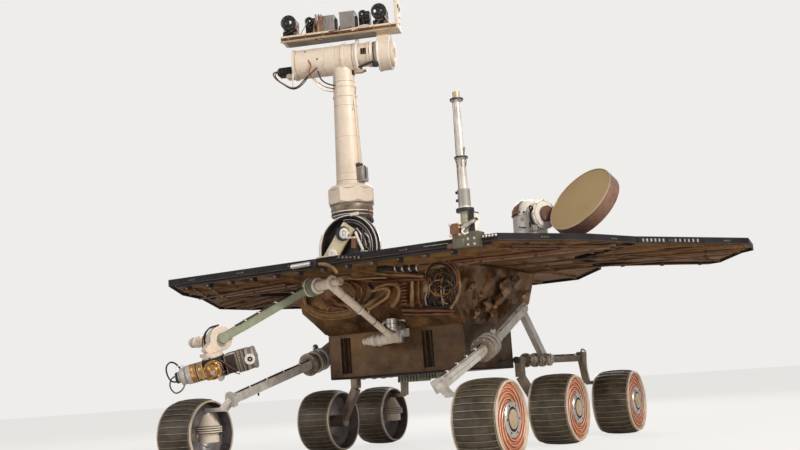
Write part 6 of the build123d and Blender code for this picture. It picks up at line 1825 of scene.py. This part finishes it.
def make_arm():
    fixed = Build()
    rings(fixed, placed(*ARM_FOOT), ((0.0360, 0.0400, 0.0222, "grey"), (0.0520, 0.0550, 0.0218, "edge"),
                                     (0.0660, 0.0725, 0.0200, "silver")), 0.003, 0.0006)
    for x in (-0.022, 0.022):
        for z in (0.012, 0.028):
            bolt(fixed, (ARM_FOOT[0] + x, -0.1683, ARM_FOOT[2] + z), FORWARD, 0.0026, "silver")
    tube(fixed, ((0.062, -0.240, 0.490), (0.076, -0.226, 0.486), (0.080, -0.200, 0.474),
                 (0.078, -0.172, 0.462)),
         0.0030, "dark")
    fixed.piece("arm_bracket_trim", "chassis", "silver_metal")

    shoulder = Build()
    on_joint(shoulder, SHOULDER, SHOULDER_RINGS)
    end_disc(shoulder, SHOULDER, -0.1530, -1, 0.0125, "cream", 4, 0.0095)
    for turn in (0.3, 1.2, 2.3):
        out = Vector((0, math.cos(turn), math.sin(turn)))
        bolt(shoulder, arm_at(-0.040, -0.0208 * out.y, 0.0208 * out.z), ARM.to_3x3() @ out, 0.0020, "edge")
    shoulder.piece("arm_shoulder_trim", "arm_shoulder", "cream_paint")

    upper = Build()
    on_joint(upper, SHOULDER, UPPER_RINGS)
    end_disc(upper, SHOULDER, 0.0330, 1, 0.0165, "cream", 6, 0.0130)
    on_joint(upper, ELBOW, ELBOW_RINGS)
    end_disc(upper, ELBOW, 0.0910, 1, 0.0125, "tan", 5, 0.0095)
    matrix, length = frame_along(arm_at(0.020, 0, 0), arm_at(0.020, *ELBOW))
    for share, radius, finish in LINK_BANDS:
        rings(upper, matrix, ((share * length - 0.003, share * length + 0.003, radius, finish),), 0.002,
              0.0008, 24)
    path = [matrix @ Vector((0.0165, 0.004, length * share)) for share in (0.10, 0.3, 0.5, 0.7, 0.9)]
    tube(upper, [arm_at(0.026, -0.010, 0.020)] + path + [arm_at(0.022, 0.268, 0.224)], 0.0024, "dark", 6)
    for share in (0.2, 0.42, 0.66, 0.84):
        lump(upper, matrix @ Vector((0.0160, 0.004, length * share)), (0.004, 0.004, 0.004), "cream")
    upper.piece("arm_upper_trim", "arm_upper_link", "cream_paint")

    fore = Build()
    on_joint(fore, ELBOW, FOREARM_RINGS)
    end_disc(fore, ELBOW, -0.1070, -1, 0.0300, "cream", 8, 0.0240)
    matrix, length = frame_along(arm_at(-0.100, *ELBOW), arm_at(-0.100, *WRIST))
    for x in (-0.0135, 0.0135):
        block(fore, (x - 0.0012, -0.0078, 0.030), (x + 0.0012, 0.0078, length - 0.078), "green", matrix,
              0.0006)
    for index in range(12):
        for sign in (-1, 1):
            bolt(fore, matrix @ Vector((0.0095, sign * 0.0074, 0.045 + (length - 0.155) * index / 11)),
                 matrix.to_3x3() @ Vector((0, sign, 0)), 0.0014, "tan")
    for side in (-0.0035, 0.0035):
        tube(fore, [matrix @ Vector((0.0160, side, z)) for z in (0.034, 0.12, 0.22, 0.29, length - 0.060)],
             0.0020,
             "dark", 6)
    for z in (0.08, 0.16, 0.24, 0.30):
        block(fore, (0.0150, -0.0085, z - 0.003), (0.0190, 0.0085, z + 0.003), "cream", matrix)
    fore.piece("forearm_trim", "arm_forearm", "cream_paint")

    wrist = Build()
    on_joint(wrist, WRIST, WRIST_RINGS)
    end_disc(wrist, WRIST, -0.3180, -1, 0.0165, "cream", 5, 0.0125)
    for turn in (60, 90, 120, 150, 180):
        around = math.radians(turn)
        place = arm_at(-0.150, WRIST[0] + 0.0286 * math.cos(around), WRIST[1] + 0.0286 * math.sin(around))
        bolt(wrist, place, place - arm_at(-0.150, *WRIST), 0.0022, "silver")
    for path, radius, finish, sides in WRIST_CABLES:
        tube(wrist, [arm_at(*point) for point in path], radius, finish, sides)
    wrist.piece("wrist_trim", "arm_wrist", "cream_paint")


make_arm()


# Turret tools, each drawn from its foot outward along X
LEAN = math.radians(-15)
DOWN = Vector((0, -math.sin(LEAN), -math.cos(LEAN)))
TURRET = ARM @ Matrix.Translation((-0.090, -0.685, -0.071)) @ Matrix((
    (1, 0, 0), (0, DOWN.z, DOWN.y), (0, -DOWN.y, DOWN.z))).to_4x4()
TURRET_TURN = -51
TOOL_FOOT = 0.0383
# Bands of hub, long tool, round sensor and microscope: from, to, radius, finish
HUB_RINGS = ((-0.0361, -0.0329, 0.0386, "silver"), (-0.0306, -0.0274, 0.0383, "edge"),
             (0.0184, 0.0216, 0.0385, "grey"), (0.0314, 0.0346, 0.0386, "silver"))
LONG_RINGS = ((0.002, 0.020, 0.0322, "gold"), (0.020, 0.026, 0.0316, "edge"), (0.026, 0.044, 0.0322, "gold"),
              (0.044, 0.056, 0.0319, "silver"), (0.0585, 0.0635, 0.0298, "edge"),
              (0.066, 0.078, 0.0287, "silver"),
              (0.0795, 0.084, 0.0215, "dark"), (0.088, 0.0975, 0.0190, "dark"))
SENSOR_RINGS = ((0.001, 0.008, 0.0305, "silver"), (0.010, 0.033, 0.0308, "gold"),
                (0.036, 0.044, 0.0218, "bronze"),
                (0.046, 0.0565, 0.0216, "dark"))
SCOPE_RINGS = ((0.031, 0.037, 0.0182, "silver"), (0.044, 0.050, 0.0168, "dark"),
               (0.057, 0.0645, 0.0172, "silver"))
# Turned ends, along the tool: profile, finish, sides
GRINDER_SIDE = ((((0.0362, 0.072), (0.0372, 0.074), (0.0372, 0.077), (0.0366, 0.079)), "silver", 40),
                (((0.0372, 0.091), (0.0376, 0.0925), (0.0376, 0.0965), (0.0350, 0.1002), (0.0280, 0.1008),
                  (0.0240, 0.1002)), "grey", 40),
                (((0.0240, 0.1002), (0.0180, 0.1010), (0.0100, 0.1015), (0, 0.1015)), "silver", 32))
GRINDER_DISC = ((((0.0172, -0.004), (0.0180, -0.001), (0.0176, 0.0014), (0.0098, 0.0022), (0.0086, 0.0010)),
                 "white", 36),
                (((0.0086, 0.0010), (0.0070, -0.0004), (0, -0.0004)), "edge", 24),
                (((0.0040, -0.0002), (0.0036, 0.0018), (0, 0.0022)), "grey", 16))
LONG_END = ((((0.0172, 0.0965), (0.0160, 0.0985), (0.0110, 0.0988), (0.0100, 0.0960), (0, 0.0960)), "grey",
             28),
            (((0.0090, 0.0964), (0.0060, 0.0972), (0, 0.0974)), "edge", 20))
SENSOR_END = ((((0.0200, 0.0560), (0.0170, 0.0575), (0.0090, 0.0570), (0, 0.0550)), "gold", 28),)
SCOPE_END = ((((0.0130, 0.0638), (0.0080, 0.0650), (0, 0.0652)), "glass", 24),)
# Wires at the far end: path of pixel u, v and depth before the turret's middle, radius, finish
FAR_WIRES = (
    (((182.0, 370.5, -0.042), (176.5, 364.5, -0.052), (171, 362.3, -0.060), (167, 365.5, -0.064),
      (166.3, 371, -0.066), (168.5, 377.5, -0.068), (172, 381.5, -0.070), (176.8, 382, -0.0705)), 0.0028,
      "edge"),
    (((175.4, 376, -0.0770), (171.2, 379.5, -0.070), (170, 385, -0.066), (171.7, 390, -0.062),
      (176, 393.2, -0.060), (181, 391, -0.056), (184, 387, -0.050), (184.4, 384, -0.0480)), 0.0026, "rust"),
    (((187.0, 368.8, -0.034), (182, 365.8, -0.046), (177, 367, -0.058), (175.2, 373.5, -0.0690)), 0.0024,
     "silver"))
# Wires on the grinder: pixel path, distance from its middle plane, radius, finish
GRINDER_WIRES = ((((219, 360), (224, 362), (229, 366), (236, 370)), 0.0340, 0.0022, "copper"),
                 (((214, 358), (221, 361.5), (228, 367), (234, 372), (240, 374)), 0.0350, 0.0018, "dark"),
                 (((209, 358), (213, 362), (217, 371), (219, 379)), 0.0365, 0.0026, "dark"))


def tool_frame(turn):
    return TURRET @ placed(0, 0, 0, TURRET_TURN + turn) @ placed(TOOL_FOOT, 0, 0)


def turned_all(made, matrix, table):
    """Turned surfaces from (profile, finish, sides) rows."""
    for profile, finish, sides in table:
        turned(made, matrix, profile, finish, sides)


def make_turret():
    made = Build()
    rings(made, TURRET, HUB_RINGS, 0.0032, 0.0008, 40)
    screws(made, TURRET, 8, 0.030, 0.0352, 0.0024)

    # Grinder: ribbed dark box, rounded pale head with a white ring disc facing front
    grinder = tool_frame(0)
    block(made, (0.002, -0.0312, -0.0285), (0.036, 0.0312, 0.0315), "dark", grinder)
    for step in range(9):
        x = 0.0385 + step * 0.0042
        block(made, (x, -0.0352, -0.0335), (x + 0.0022, 0.0352, 0.0372), ("bronze", "dark", "grey")[step % 3],
              grinder, 0.0007)
    for y, finish in ((-0.020, "dark"), (0.0, "copper"), (0.020, "silver")):
        tube(made, [grinder @ Vector(p) for p in ((0.004, y, -0.0305), (0.020, y + 0.004, -0.0318),
                                                  (0.038, y, -0.0310))], 0.0022, finish, 6)
    turned_all(made, grinder @ placed(0, 0, 0.002, 90, "Y"), GRINDER_SIDE)
    turned_all(made, grinder @ placed(0.084, 0.0385, 0.002, -90, "X"), GRINDER_DISC)

    # Long round tool: sleeves, foil collar, dark end ring
    tool = tool_frame(180) @ placed(0, 0, 0.001, 90, "Y")
    rings(made, tool, LONG_RINGS, 0.004, 0.001, 36)
    turned_all(made, tool, LONG_END)
    screws(made, tool, 8, 0.0255, 0.0792, 0.0018, "tan")

    # Small round sensor with a foil wrap and the narrow microscope
    frame = tool_frame(90)
    sensor = frame @ placed(0, 0, 0.002, 90, "Y")
    rings(made, sensor, SENSOR_RINGS, 0.004, 0.001)
    turned_all(made, sensor, SENSOR_END)
    rod(made, frame @ Vector((0.006, -0.020, 0.034)), frame @ Vector((0.040, -0.020, 0.034)), 0.0085,
        "silver")
    rod(made, sensor @ Vector((-0.004, -0.003, 0.052)), sensor @ Vector((-0.004, -0.003, 0.0600)), 0.0075,
        "silver")
    frame = tool_frame(270)
    scope = frame @ placed(0, 0, 0, 90, "Y")
    rings(made, scope, SCOPE_RINGS, 0.003, 0.001, 28)
    turned_all(made, scope, SCOPE_END)
    blocks(made, (((0.002, -0.0252, -0.0272), (0.012, 0.0252, 0.0252), "silver"),
                  ((0.0295, -0.0200, -0.0215), (0.0315, 0.0200, 0.0200), "dark")), frame)

    for path, radius, finish in FAR_WIRES:
        tube(made, traced(path, TURRET.translation.y), radius, finish, 6)
    for path, out, radius, finish in GRINDER_WIRES:
        tube(made, traced(path, out, grinder), radius, finish, 6)
    made.piece("turret_trim", "turret", "dark_metal")


make_turret()
